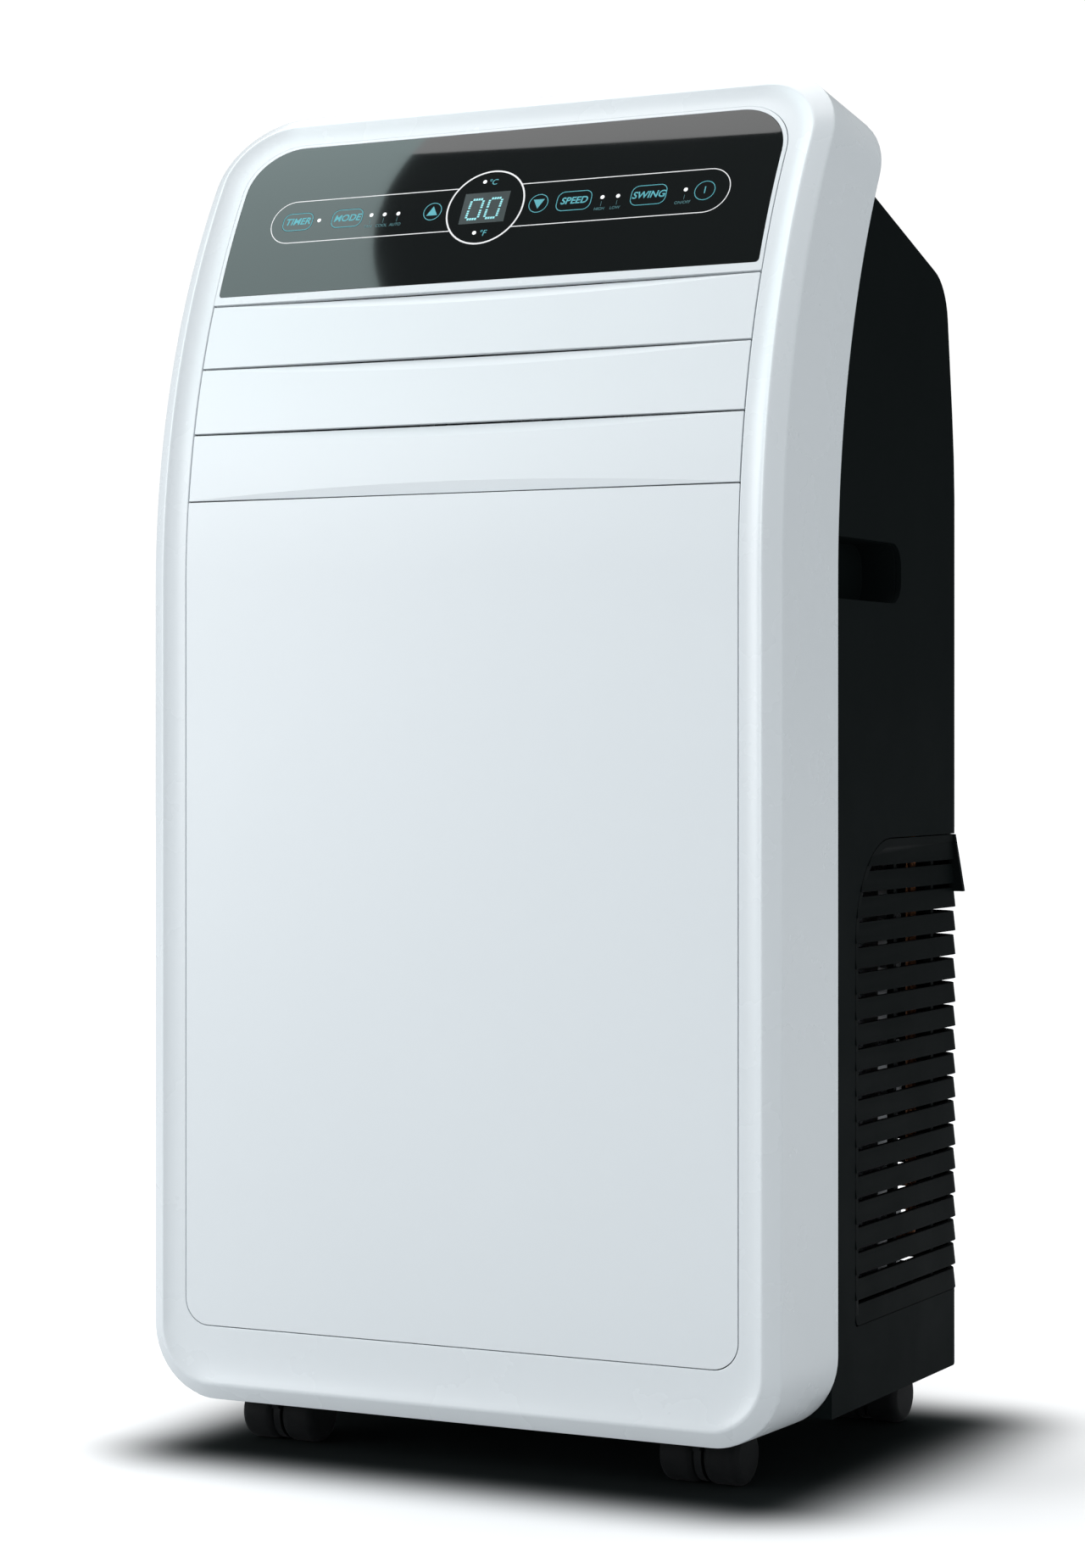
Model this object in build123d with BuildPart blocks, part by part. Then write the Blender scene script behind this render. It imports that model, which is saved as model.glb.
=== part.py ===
from build123d import *
from math import asin, atan, cos, degrees, pi, radians, sin, sqrt
import os

# Portable air conditioner. Millimetres, +X to the right seen from the front, +Y to the rear,
# +Z up. The origin is on the floor under the middle of the machine.

# ---------------------------------------------------------------- overall sizes
WIDTH = 384.0
DEPTH = 300.0
FRONT_Y = -DEPTH / 2            # straight lower part of the front
BASE_Z = 27.0                   # underside of the white bezel
BEND_Z = 474.7                  # height at which the front starts to lean back
FRONT_RADIUS = 463.7            # radius of the leaning upper front
TOP_RUN = 291.0                 # length of the leaning part, measured along the surface
TOP_SLOPE = 0.19                # fall of the top towards the rear, per millimetre
BEZEL_DEPTH = 76.0              # front to rear, the same at every height
WALL = 3.0

# front opening and what fills it; heights on the lean are measured along it, from the bend
OPENING_HALF = 169.2
OPENING_LOW_Z = 67.5
OPENING_TOP = 268.5
OPENING_LOW_RADIUS = 15.0
OPENING_TOP_RADIUS = 32.0
FACE_DEPTH = 2.5                # panel, blades and display lie this far under the ridge
FACE_WALL = 5.4                 # back of the bezel's front wall
PANEL_TOP = 47.1
LOUVER_START = 47.4
LOUVER_PITCH = 38.2
LOUVER_COUNT = 3
BLADE_HALF_HEIGHT = 18.5
BLADE_HALF_LENGTH = 168.4
BLADE_THICKNESS = 3.0
PIVOT_DEPTH = 8.4
PIVOT_RADIUS = 1.8
PIVOT_CLEARANCE = 0.06
CRANK_LENGTH = 10.0
DISPLAY_LOW = 162.6
LENS_LOW = 167.6
LENS_TOP = 265.9
LENS_HALF = 166.4
DISPLAY_MID = 216.7

# rear casing
CASING_Z = 33.5
CASING_HALF = 188.2
CASING_TAPER = 0.0507           # narrowing of each side per millimetre of depth
TAPER_START_Y = FRONT_Y + BEZEL_DEPTH
REAR_Y = 138.0
REAR_BEND_Z = 420.5
REAR_TOP_Y = 106.0
REAR_TOP_Z = 648.7
ROOF_SLOPE = 0.3057
REAR_CORNER = 23.0
NEST = 52.0                     # casing's front edge, this far behind the front surface

# intake grille of the condenser
GRILLE_FRONT_Y = -39.0
GRILLE_LOW_Z = 77.0
GRILLE_TOP_Z = 337.0
GRILLE_CORNER = 55.0
SLAT_PITCH = 13.6
SLAT_HEIGHT = 10.9
SLAT_COUNT = 19
COVER_GAP = 0.6

# intake grille of the evaporator, in the leaning part of the rear
INTAKE_MID_Z = 564.0
INTAKE_WIDTH = 280.0
INTAKE_HEIGHT = 128.0
REAR_LEAN = atan((REAR_Y - REAR_TOP_Y) / (REAR_TOP_Z - REAR_BEND_Z))

# hand recess in each side
RECESS_FRONT_Y = -79.0
RECESS_REAR_Y = 31.7
RECESS_LOW_Z = 465.0
RECESS_TOP_Z = 498.0
RECESS_CORNER = 13.0
RECESS_FLOOR_X = 159.0

# casters
CASTER_X = 130.0
CASTER_FRONT_Y = -109.0
CASTER_REAR_Y = 100.0
WHEEL_RADIUS = 15.5
WHEEL_INNER = 2.6
WHEEL_OUTER = 23.0
TRAIL = 8.0
STEM_RADIUS = 5.5
AXLE_RADIUS = 3.0
RUNNING_FIT = 0.05
PAN_Z = 37.0

# exhaust
COLLAR_X = 20.0
COLLAR_Z = 415.0
COLLAR_BORE = 65.0
COLLAR_WALL = 3.0

# condenser fan scroll
SCROLL_X = -25.0
SCROLL_Z = 190.0
SCROLL_SMALL = 80.0
SCROLL_LARGE = 120.0
SCROLL_TONGUE = 65.0            # degrees
SCROLL_FRONT_Y = 20.0
SCROLL_REAR_Y = 80.0
CHIMNEY_LEFT_X = -50.0
CHIMNEY_TOP_Z = 484.0

# evaporator fan drum
DRUM_Y = 5.0
DRUM_Z = 562.0
DRUM_RADIUS = 50.0
DRUM_HALF = 138.0
SHAFT_RADIUS = 4.0

# compressor
COMPRESSOR_X = -100.0
COMPRESSOR_Y = -75.0
COMPRESSOR_RADIUS = 55.0
ACCUMULATOR_X = -21.0
ACCUMULATOR_RADIUS = 21.0

os.makedirs("parts", exist_ok=True)


# ---------------------------------------------------------------- shared geometry
def front_point(run, depth=0.0):
    """(Y, Z) of a point of the front, run mm above the bend and depth mm under the surface."""
    if run <= 0:
        return (FRONT_Y + depth, BEND_Z + run)
    angle = run / FRONT_RADIUS
    radius = FRONT_RADIUS - depth
    return (FRONT_Y + FRONT_RADIUS - radius * cos(angle), BEND_Z + radius * sin(angle))


def face_plane(run, depth=0.0, x=0.0):
    """Plane lying on the front: x to the right, y up along the surface, z outwards."""
    angle = max(run, 0) / FRONT_RADIUS
    y, z = front_point(run, depth)
    return Plane((x, y, z), x_dir=(1, 0, 0), z_dir=(0, -cos(angle), sin(angle)))


def front_strip(low, high, outer, inner):
    """Side-view face of the front between two heights and two depths."""
    with BuildSketch(Plane.YZ, mode=Mode.PRIVATE) as strip:
        with BuildLine():
            for depth in (outer, inner):
                if low < 0:
                    Line(front_point(low, depth), front_point(min(high, 0), depth))
                if high > 0:
                    start = max(low, 0)
                    middle = front_point((start + high) / 2, depth)
                    ThreePointArc(front_point(start, depth), middle, front_point(high, depth))
            Line(front_point(low, outer), front_point(low, inner))
            Line(front_point(high, outer), front_point(high, inner))
        make_face()
    return strip.sketch


def setback_strip(near, far, high=315.0):
    """Side-view face between two copies of the front curve, moved straight back."""
    with BuildSketch(Plane.YZ, mode=Mode.PRIVATE) as strip:
        with BuildLine():
            for back in (near, far):
                low, bend, middle, top = [
                    (y + back, z)
                    for y, z in (front_point(-BEND_Z), front_point(0), front_point(high / 2), front_point(high))
                ]
                Line(low, bend)
                ThreePointArc(bend, middle, top)
            base_y, base_z = front_point(-BEND_Z)
            top_y, top_z = front_point(high)
            Line((base_y + near, base_z), (base_y + far, base_z))
            Line((top_y + near, top_z), (top_y + far, top_z))
        make_face()
    return strip.sketch


def facing_front(y=FRONT_Y - 10):
    """Upright plane seen from the front: x to the right, y up; a negative extrusion goes to the rear."""
    return Plane((0, y, 0), x_dir=(1, 0, 0), z_dir=(0, -1, 0))


def outline(points, radii):
    """Closed outline with rounded corners, as a face of the XY plane."""
    with BuildSketch(mode=Mode.PRIVATE) as shape:
        with BuildLine():
            FilletPolyline(*points, radius=radii, close=True)
        make_face()
    return shape.sketch


def bezel_block(inset):
    """Outer form of the bezel in front view, shrunk by inset; its top falls towards the rear."""
    half = WIDTH / 2 - inset
    low = BASE_Z + inset
    joint = 450.0
    corner_low = 40.0 - inset
    corner_top = 45.0 - inset
    start_y = FRONT_Y - 10
    top_y, top_z = front_point(TOP_RUN)
    high = top_z + TOP_SLOPE * (top_y - start_y) - inset * sqrt(1 + TOP_SLOPE**2)
    run = 190.0
    with BuildPart(mode=Mode.PRIVATE) as block:
        with BuildSketch(facing_front(start_y)):
            add(outline([(-half, low), (half, low), (half, joint), (-half, joint)], [corner_low, corner_low, 0, 0]))
        extrude(amount=-run)
        with BuildSketch(facing_front(start_y)):
            add(outline([(-half, joint - 60), (half, joint - 60), (half, high), (-half, high)], [0, 0, corner_top, corner_top]))
        extrude(amount=run * sqrt(1 + TOP_SLOPE**2), dir=(0, 1, -TOP_SLOPE))
    return block.part


def rear_top_corner(inset):
    """(Y, Z) where the falling top meets the bezel's rear, with both walls shrunk by inset."""
    top_y, top_z = front_point(TOP_RUN)
    z = top_z
    for _ in range(30):
        lean = asin((z - BEND_Z) / FRONT_RADIUS)
        y = FRONT_Y + FRONT_RADIUS * (1 - cos(lean)) + BEZEL_DEPTH - inset
        z = top_z - TOP_SLOPE * (y - top_y) - inset * sqrt(1 + TOP_SLOPE**2)
    return (y, z)


def corner_waste(inset, radius):
    """What rounding the rear top edge takes away, in side view."""
    y, z = rear_top_corner(inset)
    lean = asin((z - BEND_Z) / FRONT_RADIUS)
    top_end = (y - 60, z + 60 * TOP_SLOPE)
    rear_end = (y - 60 * sin(lean), z - 60 * cos(lean))
    with BuildSketch(Plane.YZ, mode=Mode.PRIVATE) as waste:
        with Locations((y + 8, z + 2)):
            Rectangle(60, 36)
        with BuildLine():
            FilletPolyline((y, z), top_end, rear_end, radius=[radius, 0, 0], close=True)
        make_face(mode=Mode.SUBTRACT)
    return waste.sketch


def bezel_form(inset, front_depth, setback):
    """Bezel as a full block between the front and its rear, rounded along the rear top edge."""
    radius = 15.0 - inset
    with BuildPart(mode=Mode.PRIVATE) as form:
        add(bezel_block(inset))
        extrude(front_strip(-BEND_Z, 315.0, front_depth, 250.0), amount=WIDTH, both=True, mode=Mode.INTERSECT)
        extrude(setback_strip(-20.0, setback), amount=WIDTH, both=True, mode=Mode.INTERSECT)
        extrude(corner_waste(inset, radius), amount=WIDTH, both=True, mode=Mode.SUBTRACT)
    return form.part


def display_prism(half, low, high, top_radius, low_radius):
    """Block through the leaning front with the outline of the display area."""
    points = [(-half, low), (half, low), (half, high), (-half, high)]
    points = [(x, run - DISPLAY_MID) for x, run in points]
    with BuildPart(mode=Mode.PRIVATE) as prism:
        with BuildSketch(face_plane(DISPLAY_MID)):
            add(outline(points, [low_radius, low_radius, top_radius, top_radius]))
        extrude(amount=30, both=True)
    return prism.part


def casing_plan(inset):
    """Casing seen from above, shrunk by inset and open-ended to the front."""
    front_half = CASING_HALF - inset
    rear = REAR_Y - inset
    rear_half = CASING_HALF - CASING_TAPER * (rear - TAPER_START_Y) - inset
    corner = REAR_CORNER - inset
    far = FRONT_Y - 40
    points = [
        (-front_half, far),
        (-front_half, TAPER_START_Y),
        (-rear_half, rear),
        (rear_half, rear),
        (front_half, TAPER_START_Y),
        (front_half, far),
    ]
    return outline(points, [0, 0, corner, corner, 0, 0])


def casing_side(inset):
    """Casing seen from the right, shrunk by inset and open-ended to the front."""
    far = FRONT_Y - 40
    front_high = REAR_TOP_Z + ROOF_SLOPE * (REAR_TOP_Y - far)
    points = [(far, CASING_Z), (REAR_Y, CASING_Z), (REAR_Y, REAR_BEND_Z), (REAR_TOP_Y, REAR_TOP_Z), (far, front_high)]
    with BuildSketch(Plane.YZ, mode=Mode.PRIVATE) as side:
        add(outline(points, [0, 20, 80, 30, 0]))
        if inset:
            offset(amount=-inset, kind=Kind.INTERSECTION)
    return side.sketch


def casing_block(inset):
    """Outer form of the casing, shrunk by inset on every side."""
    with BuildPart(mode=Mode.PRIVATE) as block:
        extrude(casing_plan(inset), amount=800)
        extrude(casing_side(inset), amount=WIDTH, both=True, mode=Mode.INTERSECT)
    return block.part


def casing_form(inset):
    """Casing form that is free behind the bezel and fits inside it further forward."""
    behind = BEZEL_DEPTH + 0.4
    with BuildPart(mode=Mode.PRIVATE) as form:
        add(casing_block(inset))
        extrude(setback_strip(behind + inset, 450.0), amount=WIDTH, both=True, mode=Mode.INTERSECT)
        with BuildPart(mode=Mode.PRIVATE) as nested:
            add(casing_block(inset))
            add(bezel_block(WALL + 0.4 + inset), mode=Mode.INTERSECT)
            extrude(setback_strip(NEST - 2 * inset, behind + 10), amount=WIDTH, both=True, mode=Mode.INTERSECT)
        add(nested.part)
    return form.part


def grille_prism(gap):
    """Block across the machine with the grille's side view; gap shrinks it inside its opening."""
    low, high = GRILLE_LOW_Z + gap, GRILLE_TOP_Z - gap
    front = GRILLE_FRONT_Y + gap
    corners = [(front, low), (REAR_Y + 40, low), (REAR_Y + 40, high), (front, high)]
    with BuildPart(mode=Mode.PRIVATE) as prism:
        with BuildSketch(Plane.YZ.offset(-WIDTH)):
            add(outline(corners, [3, 0, 0, GRILLE_CORNER - gap]))
        extrude(amount=2 * WIDTH)
    return prism.part


def lean_plane(z, depth=0.0):
    """Plane on the leaning rear wall, x to the right and z outwards; depth goes inwards."""
    y = REAR_TOP_Y + (REAR_TOP_Z - z) * (REAR_Y - REAR_TOP_Y) / (REAR_TOP_Z - REAR_BEND_Z)
    out = (0, cos(REAR_LEAN), sin(REAR_LEAN))
    return Plane((0, y - depth * out[1], z - depth * out[2]), x_dir=(1, 0, 0), z_dir=out)


def rear_plane(x, z, y=REAR_Y):
    """Upright plane facing the rear at a point of the rear wall."""
    return Plane((x, y, z), x_dir=(-1, 0, 0), z_dir=(0, 1, 0))


def side_plane(x, y, z):
    """Upright plane facing +X."""
    return Plane((x, y, z), x_dir=(0, 1, 0), z_dir=(1, 0, 0))


# ---------------------------------------------------------------- white front
with BuildPart() as front_bezel:
    add(bezel_form(0, 0, BEZEL_DEPTH))
    front_faces = [f for f in front_bezel.faces() if abs(f.center().Y - FRONT_Y) < 0.01]
    rim = front_faces[0].edges().sort_by(Axis.Z)[0]
    chamfer(rim, length=9.0, length2=6.3, reference=front_faces[0])
    add(bezel_form(WALL, 12.0, BEZEL_DEPTH - WALL), mode=Mode.SUBTRACT)
    add(bezel_form(2 * WALL, FACE_WALL, 14.0), mode=Mode.SUBTRACT)
    # open rear below the roof of the casing
    with BuildSketch(Plane.YZ):
        roof_y = FRONT_Y + 90
        roof_z = REAR_TOP_Z + ROOF_SLOPE * (REAR_TOP_Y - roof_y) + 0.5
        end_z = REAR_TOP_Z + ROOF_SLOPE * (REAR_TOP_Y - 40) + 0.5
        with BuildLine():
            Polyline((roof_y, roof_z), (40, end_z), (40, 10), (-100, 10), (-100, 560), close=True)
        make_face()
    extrude(amount=WIDTH / 2 - WALL, both=True, mode=Mode.SUBTRACT)
    # opening for panel, blades and display
    with BuildSketch(facing_front()):
        half = OPENING_HALF
        low = OPENING_LOW_Z
        add(outline([(-half, low), (half, low), (half, 620), (-half, 620)], [OPENING_LOW_RADIUS, OPENING_LOW_RADIUS, 0, 0]))
    extrude(amount=-80, mode=Mode.SUBTRACT)
    add(display_prism(OPENING_HALF, 110.0, OPENING_TOP, OPENING_TOP_RADIUS, 0), mode=Mode.SUBTRACT)
    # room under the bezel for the front casters
    with BuildSketch(Plane.XY):
        with Locations((0, (FRONT_Y + 6.5 + 20) / 2)):
            Rectangle(2 * 163, 20 - (FRONT_Y + 6.5))
    extrude(amount=36, mode=Mode.SUBTRACT)
front_bezel.part.label = "front_bezel"
export_step(front_bezel.part, "parts/front_bezel.step")

with BuildPart() as front_panel:
    with BuildSketch(facing_front()):
        half = OPENING_HALF - 0.6
        low = OPENING_LOW_Z + 0.6
        corner = OPENING_LOW_RADIUS - 0.6
        add(outline([(-half, low), (half, low), (half, 600), (-half, 600)], [corner, corner, 0, 0]))
    extrude(amount=-80)
    extrude(front_strip(-BEND_Z, PANEL_TOP, FACE_DEPTH, FACE_DEPTH + WALL), amount=WIDTH, both=True, mode=Mode.INTERSECT)
    # stiffening ribs on the back
    for rib_z in (150, 300, 440):
        with Locations((0, FRONT_Y + FACE_DEPTH + WALL + 1.4, rib_z)):
            Box(300, 3, 2)
front_panel.part.label = "front_panel"
export_step(front_panel.part, "parts/front_panel.step")

with BuildPart() as display_surround:
    add(display_prism(OPENING_HALF - 0.4, DISPLAY_LOW, OPENING_TOP - 0.4, OPENING_TOP_RADIUS - 0.4, 0))
    extrude(front_strip(150.0, 290.0, FACE_DEPTH - 0.3, FACE_WALL), amount=WIDTH, both=True, mode=Mode.INTERSECT)
    add(display_prism(LENS_HALF - 4, LENS_LOW + 4, LENS_TOP - 4, 26, 1), mode=Mode.SUBTRACT)
    with BuildPart(mode=Mode.PRIVATE) as seat:
        add(display_prism(LENS_HALF + 0.3, LENS_LOW - 0.3, LENS_TOP + 0.3, 30.3, 2.3))
        extrude(front_strip(150.0, 290.0, -5.0, FACE_WALL - 1.0), amount=WIDTH, both=True, mode=Mode.INTERSECT)
    add(seat.part, mode=Mode.SUBTRACT)
display_surround.part.label = "display_surround"
export_step(display_surround.part, "parts/display_surround.step")

# keys: name -> (x, width, height); round keys have equal sides
KEY_RUN = 213.5
KEY_SIZES = {
    "timer": (-126.0, 19.5, 11.6),
    "mode": (-93.8, 20.0, 12.0),
    "up": (-39.0, 11.5, 11.5),
    "down": (27.0, 12.0, 12.0),
    "speed": (48.7, 21.3, 12.6),
    "swing": (93.6, 21.4, 12.8),
    "power": (126.8, 12.3, 12.3),
}
KEY_TRAVEL = 0.6
KEY_GAP = 0.3
LENS_BACK = FACE_WALL - 1.1


def key_face(x, width, height, grow):
    """Rounded outline of one key on the display plane."""
    with BuildSketch(face_plane(DISPLAY_MID), mode=Mode.PRIVATE) as face:
        with Locations((x, KEY_RUN - DISPLAY_MID)):
            RectangleRounded(width + 2 * grow, height + 2 * grow, min(height / 2, 4.5) - 0.01 + grow)
    return face.sketch


with BuildPart() as display_lens:
    add(display_prism(LENS_HALF, LENS_LOW, LENS_TOP, 30, 2))
    extrude(front_strip(150.0, 290.0, FACE_DEPTH - 0.2, LENS_BACK), amount=WIDTH, both=True, mode=Mode.INTERSECT)
    for x, width, height in KEY_SIZES.values():
        extrude(key_face(x, width, height, KEY_GAP), amount=20, both=True, mode=Mode.SUBTRACT)
display_lens.part.label = "display_lens"
export_step(display_lens.part, "parts/display_lens.step")

for key_name, (x, width, height) in KEY_SIZES.items():
    with BuildPart() as key:
        # cap in the lens, flange behind it, stem down to the switch
        extrude(key_face(x, width, height, 0), amount=20, both=True)
        extrude(front_strip(150.0, 290.0, FACE_DEPTH - 0.2, LENS_BACK + 1.2), amount=WIDTH, both=True, mode=Mode.INTERSECT)
        with BuildPart(mode=Mode.PRIVATE) as flange:
            extrude(key_face(x, width, height, 1.2), amount=20, both=True)
            extrude(front_strip(150.0, 290.0, LENS_BACK + 0.3, LENS_BACK + 1.3), amount=WIDTH, both=True, mode=Mode.INTERSECT)
        add(flange.part)
        with BuildSketch(face_plane(KEY_RUN, LENS_BACK + 1.1, x)):
            Circle(2.0)
        extrude(amount=-2.6)
    key.part.label = "key_" + key_name
    export_step(key.part, "parts/key_" + key_name + ".step")

BOARD_DEPTH = 10.2
with BuildPart() as control_board:
    with BuildSketch(face_plane(DISPLAY_MID, BOARD_DEPTH)):
        Rectangle(300, 76)
        with GridLocations(284, 60, 2, 2):
            Circle(1.8, mode=Mode.SUBTRACT)
    extrude(amount=-1.6)
    for x, width, height in KEY_SIZES.values():
        with BuildSketch(face_plane(DISPLAY_MID, BOARD_DEPTH, x)):
            with Locations((0, KEY_RUN - DISPLAY_MID)):
                Rectangle(6, 6)
        extrude(amount=1.4)
    # digit module behind the window
    with BuildSketch(face_plane(DISPLAY_MID, BOARD_DEPTH, -6.4)):
        with Locations((0, KEY_RUN - DISPLAY_MID)):
            Rectangle(27, 19.8)
    extrude(amount=4.2)
control_board.part.label = "control_board"
export_step(control_board.part, "parts/control_board.step")

# ---------------------------------------------------------------- louvers
LOUVER_NAMES = ("bottom", "middle", "top")
CHEEK_INNER = 170.0
CHEEK_WALL = 2.0
CRANK_X = 173.2
CRANK_WALL = 2.2
CRANK_PIN_RADIUS = 1.5
SCOOP_HEIGHT = 6.0
SCOOP_DEPTH = 2.0


def louver_run(index):
    """Height of a blade's pivot along the front."""
    return LOUVER_START + LOUVER_PITCH * (index + 0.5)


CRANK_LEAN = louver_run(1) / FRONT_RADIUS
CRANK_STEP = (CRANK_LENGTH * cos(CRANK_LEAN), -CRANK_LENGTH * sin(CRANK_LEAN))


def pivot_point(index):
    """(Y, Z) of a blade's pivot."""
    return front_point(louver_run(index), PIVOT_DEPTH)


def crank_point(index):
    """(Y, Z) of a blade's crank pin; all cranks are parallel."""
    y, z = pivot_point(index)
    return (y + CRANK_STEP[0], z + CRANK_STEP[1])


def scoop(run, towards):
    """Shallow crescent along a blade's edge: deepest in the middle, nothing at the ends."""
    radius = (BLADE_HALF_LENGTH**2 + SCOOP_HEIGHT**2) / (2 * SCOOP_HEIGHT)
    spread = SCOOP_HEIGHT / SCOOP_DEPTH
    centre = towards * (radius - SCOOP_HEIGHT)
    with BuildPart(face_plane(run, FACE_DEPTH), mode=Mode.PRIVATE) as cut:
        with Locations((0, centre, -1)):
            Cone(radius - 3 * spread, radius + spread, 4)
    return cut.part


for index, place in enumerate(LOUVER_NAMES):
    run = louver_run(index)
    pivot_y, pivot_z = pivot_point(index)
    crank_y, crank_z = crank_point(index)
    with BuildPart() as blade:
        low, high = run - BLADE_HALF_HEIGHT, run + BLADE_HALF_HEIGHT
        extrude(front_strip(low, high, FACE_DEPTH, FACE_DEPTH + BLADE_THICKNESS), amount=BLADE_HALF_LENGTH, both=True)
        add(scoop(high, 1), mode=Mode.SUBTRACT)
        if index == 0:
            add(scoop(low, -1), mode=Mode.SUBTRACT)
        # ear and pivot at each end
        for side in (-1, 1):
            with BuildSketch(side_plane(side * (BLADE_HALF_LENGTH - 1.1), pivot_y, pivot_z)):
                Circle(3.6)
            extrude(amount=1.1, both=True)
        for start, end in ((-CRANK_X - CRANK_WALL, -BLADE_HALF_LENGTH + 1), (BLADE_HALF_LENGTH - 1, CRANK_X + 1)):
            with BuildSketch(side_plane(start, pivot_y, pivot_z)):
                Circle(PIVOT_RADIUS)
            extrude(amount=end - start)
        # crank outside the left cheek, with its pin for the link
        with BuildSketch(Plane.YZ.offset(-CRANK_X - CRANK_WALL)):
            SlotCenterPoint(((pivot_y + crank_y) / 2, (pivot_z + crank_z) / 2), (crank_y, crank_z), 5.2)
        extrude(amount=CRANK_WALL)
        with BuildSketch(side_plane(-CRANK_X - CRANK_WALL, crank_y, crank_z)):
            Circle(CRANK_PIN_RADIUS)
        extrude(amount=-3.0)
    blade.part.label = "louver_blade_" + place
    export_step(blade.part, "parts/louver_blade_" + place + ".step")

with BuildPart() as louver_link:
    ends = [crank_point(index) for index in range(LOUVER_COUNT)]
    link_x = -CRANK_X - CRANK_WALL - 0.4
    for low, high in zip(ends, ends[1:]):
        with BuildSketch(Plane.YZ.offset(link_x)):
            SlotCenterPoint(((low[0] + high[0]) / 2, (low[1] + high[1]) / 2), high, 6.0)
        extrude(amount=-2.0)
    for y, z in ends:
        with BuildSketch(side_plane(link_x, y, z)):
            Circle(CRANK_PIN_RADIUS + PIVOT_CLEARANCE)
        extrude(amount=-2.0, mode=Mode.SUBTRACT)
louver_link.part.label = "louver_link"
export_step(louver_link.part, "parts/louver_link.step")

motor_x = CHEEK_INNER + CHEEK_WALL + 0.3
shaft_y, shaft_z = pivot_point(1)
MOTOR_OFFSET = 10.0             # the motor's shaft sits off the middle of its body
with BuildPart() as swing_motor:
    with BuildSketch(side_plane(motor_x, shaft_y + MOTOR_OFFSET, shaft_z)):
        Circle(12.0)
        with Locations((8, 0)):
            Rectangle(20, 10)
    extrude(amount=13.0)
    with BuildSketch(side_plane(motor_x, shaft_y, shaft_z)):
        Circle(PIVOT_RADIUS + PIVOT_CLEARANCE)
    extrude(amount=3.0, mode=Mode.SUBTRACT)
swing_motor.part.label = "swing_motor"
export_step(swing_motor.part, "parts/swing_motor.step")

DUCT_REAR_Y = -55.0
DUCT_LOW_Z = 508.0
DUCT_TOP_Z = 622.0


def duct_side(inset):
    """Side view of the outlet duct between the blades and the evaporator fan."""
    low = LOUVER_START - 2.5 + inset
    high = LOUVER_START + LOUVER_COUNT * LOUVER_PITCH + 0.4 - inset
    front_depth = FACE_WALL + 0.4 - 4 * inset
    low_front = front_point(low, front_depth)
    high_front = front_point(high, front_depth)
    middle = front_point((low + high) / 2, front_depth)
    rear = DUCT_REAR_Y + 4 * inset
    with BuildSketch(Plane.YZ, mode=Mode.PRIVATE) as side:
        with BuildLine():
            ThreePointArc(low_front, middle, high_front)
            Polyline(high_front, (rear, DUCT_TOP_Z - inset), (rear, DUCT_LOW_Z + inset), low_front)
        make_face()
    return side.sketch


with BuildPart() as outlet_duct:
    extrude(duct_side(0), amount=CHEEK_INNER + CHEEK_WALL, both=True)
    extrude(duct_side(CHEEK_WALL), amount=CHEEK_INNER, both=True, mode=Mode.SUBTRACT)
    for index in range(LOUVER_COUNT):
        with BuildSketch(side_plane(-CHEEK_INNER - 5, *pivot_point(index))):
            Circle(PIVOT_RADIUS + PIVOT_CLEARANCE)
        extrude(amount=2 * CHEEK_INNER + 10, mode=Mode.SUBTRACT)
outlet_duct.part.label = "outlet_duct"
export_step(outlet_duct.part, "parts/outlet_duct.step")

# ---------------------------------------------------------------- black rear casing
CAP_HOLE = 6.1
CAP_PLACES = {"lower": (-110.0, 56.0), "upper": (125.0, 372.0)}
GLAND_PLACE = (-120.0, 385.0)
SCREW_PLACES = [(x, z) for x in (-146.0, 146.0) for z in (56.0, 352.0, 408.0)]
PAD_RADIUS = 80.0

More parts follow.
